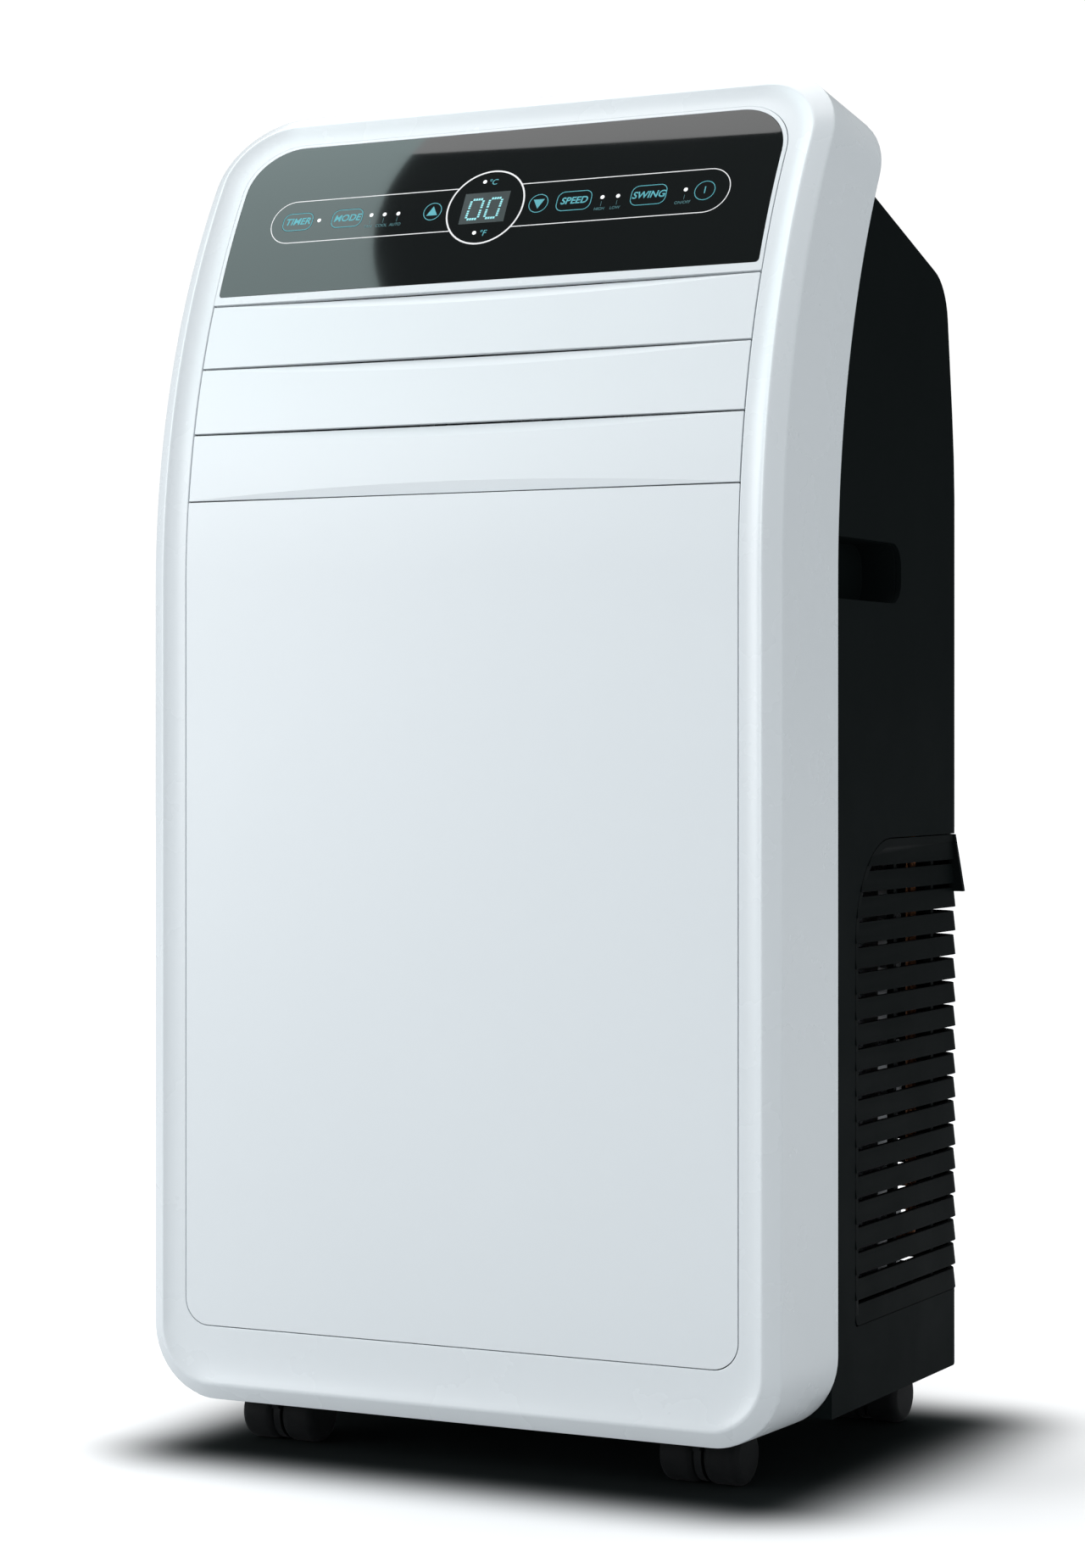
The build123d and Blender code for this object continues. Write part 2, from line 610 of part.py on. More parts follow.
with BuildPart() as rear_casing:
    add(casing_form(0))
    # round pad that carries the exhaust collar
    with BuildSketch(rear_plane(COLLAR_X, COLLAR_Z)):
        Circle(PAD_RADIUS)
    extrude(amount=-20)
    add(casing_form(WALL), mode=Mode.SUBTRACT)
    with BuildSketch(rear_plane(COLLAR_X, COLLAR_Z, REAR_Y - WALL)):
        Circle(PAD_RADIUS - WALL)
    extrude(amount=-40, mode=Mode.SUBTRACT)
    with BuildSketch(rear_plane(COLLAR_X, COLLAR_Z, REAR_Y + 5)):
        Circle(COLLAR_BORE + COLLAR_WALL + 0.6)
    extrude(amount=-60, mode=Mode.SUBTRACT)
    # wrap-round opening of the condenser grille
    add(grille_prism(0), mode=Mode.SUBTRACT)
    # opening of the upper intake grille
    with BuildSketch(lean_plane(INTAKE_MID_Z)):
        RectangleRounded(INTAKE_WIDTH, INTAKE_HEIGHT, 6)
    extrude(amount=15, both=True, mode=Mode.SUBTRACT)
    # hand recesses
    with BuildSketch(Plane.YZ):
        corners = [(RECESS_FRONT_Y, RECESS_LOW_Z), (RECESS_REAR_Y, RECESS_LOW_Z)]
        corners += [(RECESS_REAR_Y, RECESS_TOP_Z), (RECESS_FRONT_Y, RECESS_TOP_Z)]
        add(outline(corners, [0, RECESS_CORNER, RECESS_CORNER, 0]))
    extrude(amount=WIDTH, both=True, mode=Mode.SUBTRACT)
    # open bottom for the pan and the casters
    with BuildSketch(Plane.XY.offset(CASING_Z - 5)):
        with Locations((0, (112 + FRONT_Y) / 2)):
            Rectangle(2 * 156, 112 - FRONT_Y)
    extrude(amount=20, mode=Mode.SUBTRACT)
    for x, z in CAP_PLACES.values():
        with BuildSketch(rear_plane(x, z)):
            Circle(CAP_HOLE)
        extrude(amount=-10, mode=Mode.SUBTRACT)
    for x, z in SCREW_PLACES:
        with BuildSketch(rear_plane(x, z)):
            Circle(2.2)
        extrude(amount=-10, mode=Mode.SUBTRACT)
    with BuildSketch(rear_plane(*GLAND_PLACE)):
        Circle(8.3)
    extrude(amount=-10, mode=Mode.SUBTRACT)
rear_casing.part.label = "rear_casing"
export_step(rear_casing.part, "parts/rear_casing.step")



def slat(low):
    """One slat: a ring round the casing, proud along its lower edge and leaning in above."""
    with BuildPart(mode=Mode.PRIVATE) as ring:
        with BuildSketch(Plane.XY.offset(low)):
            add(casing_plan(-0.6))
        with BuildSketch(Plane.XY.offset(low + SLAT_HEIGHT)):
            add(casing_plan(0.6))
        loft()
        with BuildSketch(Plane.XY.offset(low - 1)):
            add(casing_plan(3.6))
        extrude(amount=SLAT_HEIGHT + 2, mode=Mode.SUBTRACT)
    return ring.part


with BuildPart() as rear_grille:
    # border that follows the opening
    add(casing_block(0))
    add(casing_block(4.0), mode=Mode.SUBTRACT)
    add(grille_prism(COVER_GAP + 4), mode=Mode.SUBTRACT)
    # lapped slats
    for number in range(SLAT_COUNT):
        add(slat(GRILLE_LOW_Z + COVER_GAP + number * SLAT_PITCH))
    # upright ribs that carry the slats
    with BuildPart(mode=Mode.PRIVATE) as ribs:
        add(casing_block(3.0))
        add(casing_block(7.0), mode=Mode.SUBTRACT)
        with BuildPart(mode=Mode.PRIVATE) as places:
            with Locations(*[(x, REAR_Y, 200) for x in (-105, -35, 35, 105)]):
                Box(4, 40, 400)
            with Locations((0, 90, 200), (0, 30, 200), (0, GRILLE_FRONT_Y + 3, 200)):
                Box(WIDTH, 4, 400)
        add(places.part, mode=Mode.INTERSECT)
    add(ribs.part)
    # finger lip along the top, round the rear corners
    with BuildPart(mode=Mode.PRIVATE) as lip:
        with BuildSketch(Plane.XY.offset(GRILLE_TOP_Z - 33)):
            add(casing_plan(-6.0))
        with BuildSketch(Plane.XY.offset(GRILLE_TOP_Z - COVER_GAP)):
            add(casing_plan(-0.8))
        loft()
        with BuildSketch(Plane.XY.offset(GRILLE_TOP_Z - 40)):
            add(casing_plan(2.5))
        extrude(amount=60, mode=Mode.SUBTRACT)
        with Locations((0, REAR_Y - 20 + 50, GRILLE_TOP_Z)):
            Box(WIDTH + 40, 100, 80, mode=Mode.INTERSECT)
    add(lip.part)
    add(grille_prism(COVER_GAP), mode=Mode.INTERSECT)
rear_grille.part.label = "rear_grille"
export_step(rear_grille.part, "parts/rear_grille.step")

with BuildPart() as condenser_filter:
    with BuildSketch(rear_plane(0, 205, 128.0)):
        Rectangle(280, 226)
        with GridLocations(34, 36, 8, 6):
            Rectangle(30, 32, mode=Mode.SUBTRACT)
    extrude(amount=-2.5)
    with BuildSketch(rear_plane(0, 205, 126.5)):
        Rectangle(276, 222)
    extrude(amount=-0.6)
condenser_filter.part.label = "condenser_filter"
export_step(condenser_filter.part, "parts/condenser_filter.step")

with BuildPart() as upper_intake_grille:
    with BuildSketch(lean_plane(INTAKE_MID_Z, WALL)):
        RectangleRounded(INTAKE_WIDTH - 2 * COVER_GAP, INTAKE_HEIGHT - 2 * COVER_GAP, 5)
    extrude(amount=WALL)
    with BuildSketch(lean_plane(INTAKE_MID_Z)):
        with GridLocations(88, 11, 3, 10):
            SlotOverall(84, 6)
    extrude(amount=-8, mode=Mode.SUBTRACT)
    # finger lip along the top edge
    with BuildSketch(lean_plane(INTAKE_MID_Z)):
        with Locations((0, -INTAKE_HEIGHT / 2 + 4)):
            Rectangle(80, 4)
    extrude(amount=5)
upper_intake_grille.part.label = "upper_intake_grille"
export_step(upper_intake_grille.part, "parts/upper_intake_grille.step")

with BuildPart() as evaporator_filter:
    with BuildSketch(lean_plane(INTAKE_MID_Z, WALL + 0.2)):
        Rectangle(272, 120)
        with GridLocations(33, 28, 8, 4):
            Rectangle(29, 24, mode=Mode.SUBTRACT)
    extrude(amount=-2.5)
    with BuildSketch(lean_plane(INTAKE_MID_Z, WALL + 1.2)):
        Rectangle(268, 116)
    extrude(amount=-0.6)
evaporator_filter.part.label = "evaporator_filter"
export_step(evaporator_filter.part, "parts/evaporator_filter.step")

for side, side_name in ((-1, "left"), (1, "right")):
    with BuildPart() as handle_cup:
        cup_length = RECESS_REAR_Y - RECESS_FRONT_Y
        mid_y = (RECESS_REAR_Y + RECESS_FRONT_Y) / 2
        mid_z = (RECESS_LOW_Z + RECESS_TOP_Z) / 2
        with BuildSketch(side_plane(side * (RECESS_FLOOR_X - 2.5), mid_y, mid_z)):
            RectangleRounded(cup_length + 8, RECESS_TOP_Z - RECESS_LOW_Z + 8, 14)
        extrude(amount=side * 40)
        add(casing_form(WALL + 0.3), mode=Mode.INTERSECT)
        with BuildSketch(side_plane(side * RECESS_FLOOR_X, mid_y, mid_z)):
            RectangleRounded(cup_length, RECESS_TOP_Z - RECESS_LOW_Z, RECESS_CORNER)
        extrude(amount=side * 50, mode=Mode.SUBTRACT)
    handle_cup.part.label = "handle_cup_" + side_name
    export_step(handle_cup.part, "parts/handle_cup_" + side_name + ".step")

with BuildPart() as exhaust_collar:
    with BuildSketch(rear_plane(COLLAR_X, COLLAR_Z, DEPTH / 2)):
        Circle(COLLAR_BORE + COLLAR_WALL)
    extrude(amount=-74)
    with BuildSketch(rear_plane(COLLAR_X, COLLAR_Z, REAR_Y)):
        Circle(COLLAR_BORE + 11)
    extrude(amount=3)
    with BuildSketch(rear_plane(COLLAR_X, COLLAR_Z, DEPTH / 2)):
        Circle(COLLAR_BORE)
    extrude(amount=-74, mode=Mode.SUBTRACT)
exhaust_collar.part.label = "exhaust_collar"
export_step(exhaust_collar.part, "parts/exhaust_collar.step")

for cap_name, (x, z) in CAP_PLACES.items():
    with BuildPart() as drain_cap:
        with BuildSketch(rear_plane(x, z, REAR_Y + 0.2)):
            Circle(9.0)
        extrude(amount=4.0)
        with BuildSketch(rear_plane(x, z, REAR_Y + 0.2)):
            Circle(CAP_HOLE - 0.08)
        extrude(amount=-9.0)
    drain_cap.part.label = "drain_cap_" + cap_name
    export_step(drain_cap.part, "parts/drain_cap_" + cap_name + ".step")

with BuildPart() as cord_gland:
    with BuildSketch(rear_plane(*GLAND_PLACE)):
        Circle(11.0)
    extrude(amount=2.0)
    with BuildSketch(rear_plane(*GLAND_PLACE)):
        Circle(8.0)
    extrude(amount=9.0, taper=8)
    with BuildSketch(rear_plane(*GLAND_PLACE)):
        Circle(8.0)
    extrude(amount=-9.0)
    with BuildSketch(rear_plane(*GLAND_PLACE, y=REAR_Y + 9.0)):
        Circle(3.8)
    extrude(amount=-14.0, mode=Mode.SUBTRACT)
cord_gland.part.label = "cord_gland"
export_step(cord_gland.part, "parts/cord_gland.step")

with BuildPart() as casing_screws:
    for x, z in SCREW_PLACES:
        with BuildSketch(rear_plane(x, z)):
            Circle(4.0)
        extrude(amount=2.0)
        with BuildSketch(rear_plane(x, z)):
            Circle(2.0)
        extrude(amount=-10.0)
        with BuildSketch(rear_plane(x, z, REAR_Y + 2.0)):
            Rectangle(5, 1)
            Rectangle(1, 5)
        extrude(amount=-1.0, mode=Mode.SUBTRACT)
casing_screws.part.label = "casing_screws"
export_step(casing_screws.part, "parts/casing_screws.step")

# ---------------------------------------------------------------- base and casters
CASTER_PLACES = {
    "front_left": (-CASTER_X, CASTER_FRONT_Y),
    "front_right": (CASTER_X, CASTER_FRONT_Y),
    "rear_left": (-CASTER_X, CASTER_REAR_Y),
    "rear_right": (CASTER_X, CASTER_REAR_Y),
}
PAN_FRONT_Y = FRONT_Y + 12.0
PAN_REAR_Y = 120.0

with BuildPart() as base_pan:
    pan_mid = (PAN_FRONT_Y + PAN_REAR_Y) / 2
    pan_length = PAN_REAR_Y - PAN_FRONT_Y
    with BuildSketch(Plane.XY.offset(PAN_Z)):
        with Locations((0, pan_mid)):
            RectangleRounded(2 * 166, pan_length, 10)
    extrude(amount=22)
    with BuildSketch(Plane.XY.offset(PAN_Z + WALL)):
        with Locations((0, pan_mid)):
            RectangleRounded(2 * 164, pan_length - 4, 8)
    extrude(amount=22, mode=Mode.SUBTRACT)
    with BuildSketch(Plane.XY.offset(CASING_Z)):
        with Locations(*CASTER_PLACES.values()):
            Circle(10.0)
    extrude(amount=18)
    with BuildSketch(Plane.XY.offset(CASING_Z)):
        with Locations(*CASTER_PLACES.values()):
            Circle(STEM_RADIUS + RUNNING_FIT)
    extrude(amount=17, mode=Mode.SUBTRACT)
base_pan.part.label = "base_pan"
export_step(base_pan.part, "parts/base_pan.step")

for place, (x, y) in CASTER_PLACES.items():
    axle_y = y + TRAIL
    with BuildPart() as caster_housing:
        # web between the wheels and a fender over them
        with BuildSketch(Plane.YZ.offset(x)):
            with Locations((axle_y, WHEEL_RADIUS)):
                Circle(WHEEL_RADIUS - 1.0)
            with Locations((y + 1, 26)):
                Rectangle(18, 13.4)
        extrude(amount=WHEEL_INNER - 0.5, both=True)
        with BuildPart(mode=Mode.PRIVATE) as fender:
            with BuildSketch(Plane.YZ.offset(x)):
                with Locations((axle_y, WHEEL_RADIUS)):
                    Circle(WHEEL_RADIUS + 1.7)
                    Circle(WHEEL_RADIUS + 0.4, mode=Mode.SUBTRACT)
            extrude(amount=15, both=True)
            with Locations((x, axle_y, 28.5)):
                Box(60, 60, 9, mode=Mode.INTERSECT)
        add(fender.part)
        with BuildSketch(Plane.YZ.offset(x)):
            with Locations((axle_y, WHEEL_RADIUS)):
                Circle(AXLE_RADIUS)
        extrude(amount=WHEEL_OUTER - 3, both=True)
        with BuildSketch(Plane((x, y, 31.8))):
            Circle(STEM_RADIUS + 3)
        extrude(amount=1.2)
        with BuildSketch(Plane((x, y, 31.8))):
            Circle(STEM_RADIUS)
        extrude(amount=18)
    caster_housing.part.label = "caster_" + place + "_housing"
    export_step(caster_housing.part, "parts/caster_" + place + "_housing.step")
    for side, side_name in ((-1, "left"), (1, "right")):
        with BuildPart() as wheel:
            inner = side * WHEEL_INNER
            tread = side * (WHEEL_OUTER - WHEEL_INNER)
            with BuildSketch(side_plane(x + inner, axle_y, WHEEL_RADIUS)):
                Circle(WHEEL_RADIUS)
            extrude(amount=tread)
            fillet(wheel.edges().filter_by(GeomType.CIRCLE), 4.5)
            with BuildSketch(side_plane(x + inner, axle_y, WHEEL_RADIUS)):
                Circle(AXLE_RADIUS + RUNNING_FIT)
            extrude(amount=side * (WHEEL_OUTER - WHEEL_INNER - 2), mode=Mode.SUBTRACT)
        wheel.part.label = "caster_" + place + "_wheel_" + side_name
        export_step(wheel.part, "parts/caster_" + place + "_wheel_" + side_name + ".step")

# ---------------------------------------------------------------- cooling circuit
FOOT_Z = 52.0
FOOT_PLACES = [
    (COMPRESSOR_X + 58 * cos(radians(angle)), COMPRESSOR_Y + 58 * sin(radians(angle)))
    for angle in (90, 210, 330)
]

with BuildPart() as compressor_mounts:
    with BuildSketch(Plane.XY.offset(PAN_Z + WALL)):
        with Locations(*FOOT_PLACES):
            Circle(9)
    extrude(amount=FOOT_Z - PAN_Z - WALL)
compressor_mounts.part.label = "compressor_mounts"
export_step(compressor_mounts.part, "parts/compressor_mounts.step")

with BuildPart() as compressor:
    with BuildSketch(Plane.XY.offset(FOOT_Z)):
        with Locations(*FOOT_PLACES):
            Circle(11)
        make_hull()
    extrude(amount=3)
    with BuildSketch(Plane.XY.offset(FOOT_Z + 3)):
        with Locations((COMPRESSOR_X, COMPRESSOR_Y)):
            Circle(COMPRESSOR_RADIUS)
    extrude(amount=215)
    top_edge = compressor.edges().filter_by(GeomType.CIRCLE).sort_by(Axis.Z)[-1]
    fillet(top_edge, 22)
    # discharge stub on the top, accumulator strapped to the side
    with BuildSketch(Plane((COMPRESSOR_X, COMPRESSOR_Y, FOOT_Z + 210))):
        Circle(6)
    extrude(amount=14)
    with BuildSketch(Plane((ACCUMULATOR_X, COMPRESSOR_Y, 85))):
        Circle(ACCUMULATOR_RADIUS)
    extrude(amount=130)
    with Locations(((COMPRESSOR_X + ACCUMULATOR_X) / 2 + 15, COMPRESSOR_Y, 150)):
        Box(40, 12, 14)
    with Locations(((COMPRESSOR_X + ACCUMULATOR_X) / 2 + 15, COMPRESSOR_Y, 92)):
        Box(40, 10, 10)
compressor.part.label = "compressor"
export_step(compressor.part, "parts/compressor.step")

COIL_HALF = 146.0
CONDENSER_Y = 97.0
EVAPORATOR_Y = 73.0
TRAY_Z = 487.0


def finned_coil(mid_y, thickness, low, high):
    """Coil: a fin pack with end plates and return bends standing out at the right."""
    with BuildPart(mode=Mode.PRIVATE) as coil:
        with Locations((0, mid_y, (low + high) / 2)):
            Box(2 * COIL_HALF, thickness, high - low)
        rows = int((high - low) / 24)
        with BuildSketch(Plane.XZ.offset(-(mid_y - thickness / 2))):
            with Locations((0, (low + high) / 2)):
                with GridLocations(9.0, 0, 31, 1):
                    Rectangle(3.0, high - low - 8)
        extrude(amount=-3.0, mode=Mode.SUBTRACT)
        for row in range(rows):
            z = low + 12 + 24 * row
            with BuildSketch(side_plane(COIL_HALF, mid_y, z)):
                SlotOverall(thickness - 4, 7)
            extrude(amount=5)
    return coil.part


with BuildPart() as condenser_coil:
    add(finned_coil(CONDENSER_Y, 24.0, 84.0, 326.0))
condenser_coil.part.label = "condenser_coil"
export_step(condenser_coil.part, "parts/condenser_coil.step")

with BuildPart() as evaporator_coil:
    add(finned_coil(EVAPORATOR_Y, 22.0, TRAY_Z + 4, 628.0))
evaporator_coil.part.label = "evaporator_coil"
export_step(evaporator_coil.part, "parts/evaporator_coil.step")

with BuildPart() as drip_tray:
    with Locations((0, 19, TRAY_Z + 6)):
        Box(2 * 152, 158, 12)
        Box(2 * 150, 154, 20, mode=Mode.SUBTRACT)
    with Locations((0, 19, TRAY_Z + 1.5)):
        Box(2 * 152, 158, 3)
drip_tray.part.label = "drip_tray"
export_step(drip_tray.part, "parts/drip_tray.step")


def tube(points, bend, radius):
    """Pipe along straight runs joined by bends."""
    with BuildPart(mode=Mode.PRIVATE) as pipe:
        with BuildLine() as path:
            FilletPolyline(*points, radius=bend)
        start = path.line @ 0
        with BuildSketch(Plane(start, z_dir=path.line % 0)):
            Circle(radius)
        sweep(path=path.line)
    return pipe.part


with BuildPart() as discharge_pipe:
    low = (COMPRESSOR_X, COMPRESSOR_Y, FOOT_Z + 224)
    high_z = 340.0
    add(tube([low, (low[0], low[1], high_z), (-160, low[1], high_z), (-160, CONDENSER_Y, high_z), (-160, CONDENSER_Y, 310), (-COIL_HALF, CONDENSER_Y, 310)], 10, 4))
discharge_pipe.part.label = "discharge_pipe"
export_step(discharge_pipe.part, "parts/discharge_pipe.step")

with BuildPart() as suction_pipe:
    low = (ACCUMULATOR_X, COMPRESSOR_Y, 215)
    high_z = 360.0
    add(tube([low, (low[0], low[1], high_z), (-159, low[1], high_z), (-159, EVAPORATOR_Y, high_z), (-159, EVAPORATOR_Y, 530), (-COIL_HALF, EVAPORATOR_Y, 530)], 11, 5))
suction_pipe.part.label = "suction_pipe"
export_step(suction_pipe.part, "parts/suction_pipe.step")

with BuildPart() as liquid_line:
    start_x = COIL_HALF + 5
    add(tube([(start_x, CONDENSER_Y, 108), (161, CONDENSER_Y, 108), (161, CONDENSER_Y, 420), (161, EVAPORATOR_Y, 450), (161, EVAPORATOR_Y, 599), (start_x, EVAPORATOR_Y, 599)], 6, 3))
liquid_line.part.label = "liquid_line"
export_step(liquid_line.part, "parts/liquid_line.step")

# ---------------------------------------------------------------- condenser fan


def scroll_face(inset, y):
    """Condenser fan's scroll and chimney seen from the front, walls moved in by inset."""
    steps = 12
    spiral = []
    for step in range(steps + 1):
        share = step / steps
        angle = radians(SCROLL_TONGUE + (360 - SCROLL_TONGUE) * share)
        radius = SCROLL_SMALL + (SCROLL_LARGE - SCROLL_SMALL) * share - inset
        spiral.append((SCROLL_X + radius * cos(angle), SCROLL_Z + radius * sin(angle)))
    right = spiral[-1][0]
    left = CHIMNEY_LEFT_X + inset
    with BuildSketch(Plane.XZ.offset(-y), mode=Mode.PRIVATE) as side:
        with BuildLine():
            Spline(*spiral)
            Polyline(spiral[-1], (right, CHIMNEY_TOP_Z - inset), (left, CHIMNEY_TOP_Z - inset), (left, 345 + inset), spiral[0])
        make_face()
    return side.sketch


with BuildPart() as cond_fan_housing:
    extrude(scroll_face(0, SCROLL_FRONT_Y), amount=SCROLL_REAR_Y - SCROLL_FRONT_Y, dir=(0, 1, 0))
    scroll_wall = 2.5
    hollow = SCROLL_REAR_Y - SCROLL_FRONT_Y - 2 * scroll_wall
    extrude(scroll_face(scroll_wall, SCROLL_FRONT_Y + scroll_wall), amount=hollow, dir=(0, 1, 0), mode=Mode.SUBTRACT)
    with BuildSketch(rear_plane(SCROLL_X, SCROLL_Z, SCROLL_REAR_Y + 1)):
        Circle(60)
    extrude(amount=-10, mode=Mode.SUBTRACT)
    with BuildSketch(rear_plane(SCROLL_X, SCROLL_Z, SCROLL_FRONT_Y + 5)):
        Circle(16)
    extrude(amount=-10, mode=Mode.SUBTRACT)
    with BuildSketch(rear_plane(COLLAR_X, COLLAR_Z, SCROLL_REAR_Y + 1)):
        Circle(COLLAR_BORE + COLLAR_WALL + 0.6)
    extrude(amount=-10, mode=Mode.SUBTRACT)
cond_fan_housing.part.label = "cond_fan_housing"
export_step(cond_fan_housing.part, "parts/cond_fan_housing.step")

with BuildPart() as cond_fan_motor:
    with BuildSketch(rear_plane(SCROLL_X, SCROLL_Z, SCROLL_FRONT_Y - 0.5)):
        Circle(36)
    extrude(amount=-40)
    fillet(cond_fan_motor.edges().filter_by(GeomType.CIRCLE).sort_by(Axis.Y)[0], 6)
    with BuildSketch(rear_plane(SCROLL_X, SCROLL_Z, SCROLL_FRONT_Y - 0.5)):
        Circle(SHAFT_RADIUS)
    extrude(amount=46)
cond_fan_motor.part.label = "cond_fan_motor"
export_step(cond_fan_motor.part, "parts/cond_fan_motor.step")

with BuildPart() as cond_fan_wheel:
    blower_front = SCROLL_FRONT_Y + 8
    blower_width = 44
    with BuildSketch(rear_plane(SCROLL_X, SCROLL_Z, blower_front)):
        Circle(70)
    extrude(amount=2)
    with BuildSketch(rear_plane(SCROLL_X, SCROLL_Z, blower_front)):
        Circle(12)
    extrude(amount=24)
    with BuildSketch(rear_plane(SCROLL_X, SCROLL_Z, blower_front)):
        with PolarLocations(64.5, 30):
            Rectangle(10, 1.6, rotation=35)
    extrude(amount=blower_width)
    with BuildSketch(rear_plane(SCROLL_X, SCROLL_Z, blower_front + blower_width - 3)):
        Circle(70)
        Circle(61, mode=Mode.SUBTRACT)
    extrude(amount=3)
    with BuildSketch(rear_plane(SCROLL_X, SCROLL_Z, blower_front - 1)):
        Circle(SHAFT_RADIUS + RUNNING_FIT)
    extrude(amount=40, mode=Mode.SUBTRACT)
cond_fan_wheel.part.label = "cond_fan_wheel"
export_step(cond_fan_wheel.part, "parts/cond_fan_wheel.step")

# ---------------------------------------------------------------- evaporator fan
END_PLATE_X = 146.0

with BuildPart() as evap_fan_housing:
    for side in (-1, 1):
        with BuildSketch(side_plane(side * END_PLATE_X, DRUM_Y, DRUM_Z)):
            Rectangle(112, 116)
        extrude(amount=side * 2.5)
    # rear guide under the drum and tongue above it
    with BuildPart(mode=Mode.PRIVATE) as guide:
        with BuildSketch(side_plane(-END_PLATE_X - 0.5, DRUM_Y, DRUM_Z)):
            Circle(55)
            Circle(53, mode=Mode.SUBTRACT)
        extrude(amount=2 * END_PLATE_X + 1)
        with Locations((0, DRUM_Y, DRUM_Z - 42)):
            Box(WIDTH, 120, 40, mode=Mode.INTERSECT)
    add(guide.part)
    with Locations((0, DRUM_Y - 38, DRUM_Z + 52)):
        Box(2 * END_PLATE_X + 1, 30, 2.5)
    bore_plane = side_plane(-END_PLATE_X - 5, DRUM_Y, DRUM_Z)
    with BuildSketch(bore_plane):
        Circle(SHAFT_RADIUS + RUNNING_FIT)
    extrude(amount=2 * END_PLATE_X + 10, mode=Mode.SUBTRACT)
evap_fan_housing.part.label = "evap_fan_housing"
export_step(evap_fan_housing.part, "parts/evap_fan_housing.step")

with BuildPart() as evap_fan_wheel:
    disc_count = 5
    for number in range(disc_count):
        disc_x = -DRUM_HALF + number * (2 * DRUM_HALF - 2) / (disc_count - 1)
        with BuildSketch(side_plane(disc_x, DRUM_Y, DRUM_Z)):
            Circle(DRUM_RADIUS)
            if 0 < number < disc_count - 1:
                Circle(DRUM_RADIUS - 10, mode=Mode.SUBTRACT)
        extrude(amount=2)
    with BuildSketch(side_plane(-DRUM_HALF, DRUM_Y, DRUM_Z)):
        with PolarLocations(DRUM_RADIUS - 5, 28):
            Rectangle(9, 1.4, rotation=35)
    extrude(amount=2 * DRUM_HALF)
    # hub for the motor shaft at the right, stub in the bearing at the left
    with BuildSketch(side_plane(DRUM_HALF - 30, DRUM_Y, DRUM_Z)):
        Circle(9)
    extrude(amount=30)
    with BuildSketch(side_plane(DRUM_HALF - 28, DRUM_Y, DRUM_Z)):
        Circle(SHAFT_RADIUS + RUNNING_FIT)
    extrude(amount=30, mode=Mode.SUBTRACT)
    with BuildSketch(side_plane(-DRUM_HALF, DRUM_Y, DRUM_Z)):
        Circle(SHAFT_RADIUS)
    extrude(amount=-12)
evap_fan_wheel.part.label = "evap_fan_wheel"
export_step(evap_fan_wheel.part, "parts/evap_fan_wheel.step")

with BuildPart() as evap_fan_motor:
    with BuildSketch(side_plane(END_PLATE_X + 3.0, DRUM_Y, DRUM_Z)):
        Circle(28)
    extrude(amount=25)
    with BuildSketch(side_plane(END_PLATE_X + 3.0, DRUM_Y, DRUM_Z)):
        Circle(SHAFT_RADIUS - 0.1)
    extrude(amount=-34)
evap_fan_motor.part.label = "evap_fan_motor"
export_step(evap_fan_motor.part, "parts/evap_fan_motor.step")

# ---------------------------------------------------------------- electrics
BOX_X = 110.0
BOX_Y = -97.0

with BuildPart() as control_box:
    with Locations((BOX_X, BOX_Y, 315)):
        Box(100, 75, 170)
        Box(96, 71, 166, mode=Mode.SUBTRACT)
    with Locations((BOX_X, BOX_Y + 36.5, 135)):
        Box(100, 2, 190)
control_box.part.label = "control_box"
export_step(control_box.part, "parts/control_box.step")

with BuildPart() as run_capacitor:
    with BuildSketch(Plane((BOX_X, BOX_Y + 15, 130))):
        Circle(20)
    extrude(amount=80)
    fillet(run_capacitor.edges().filter_by(GeomType.CIRCLE), 2)
run_capacitor.part.label = "run_capacitor"
export_step(run_capacitor.part, "parts/run_capacitor.step")
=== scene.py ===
import math

import bmesh
import bpy
import numpy as np
from mathutils import Euler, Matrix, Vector


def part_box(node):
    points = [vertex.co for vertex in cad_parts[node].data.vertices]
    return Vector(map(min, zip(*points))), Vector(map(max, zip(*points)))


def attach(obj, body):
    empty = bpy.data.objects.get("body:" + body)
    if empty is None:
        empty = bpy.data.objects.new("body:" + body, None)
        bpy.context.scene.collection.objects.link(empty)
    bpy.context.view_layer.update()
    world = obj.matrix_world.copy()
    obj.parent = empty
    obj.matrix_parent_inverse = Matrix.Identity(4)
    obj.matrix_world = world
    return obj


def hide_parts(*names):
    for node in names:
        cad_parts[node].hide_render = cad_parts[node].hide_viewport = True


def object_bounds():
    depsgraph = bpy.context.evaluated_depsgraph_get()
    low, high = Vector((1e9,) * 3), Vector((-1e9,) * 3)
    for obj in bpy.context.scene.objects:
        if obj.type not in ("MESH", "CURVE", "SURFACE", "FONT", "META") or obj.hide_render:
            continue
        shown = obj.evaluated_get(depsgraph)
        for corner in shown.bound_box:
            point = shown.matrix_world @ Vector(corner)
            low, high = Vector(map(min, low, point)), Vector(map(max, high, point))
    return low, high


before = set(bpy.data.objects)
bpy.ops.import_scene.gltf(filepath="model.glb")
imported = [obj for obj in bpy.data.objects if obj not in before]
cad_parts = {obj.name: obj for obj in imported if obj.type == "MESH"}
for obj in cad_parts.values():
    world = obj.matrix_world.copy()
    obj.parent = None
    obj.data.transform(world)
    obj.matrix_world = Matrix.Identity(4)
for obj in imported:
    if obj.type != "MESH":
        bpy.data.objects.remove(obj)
cad_box = [list(corner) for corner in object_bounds()]

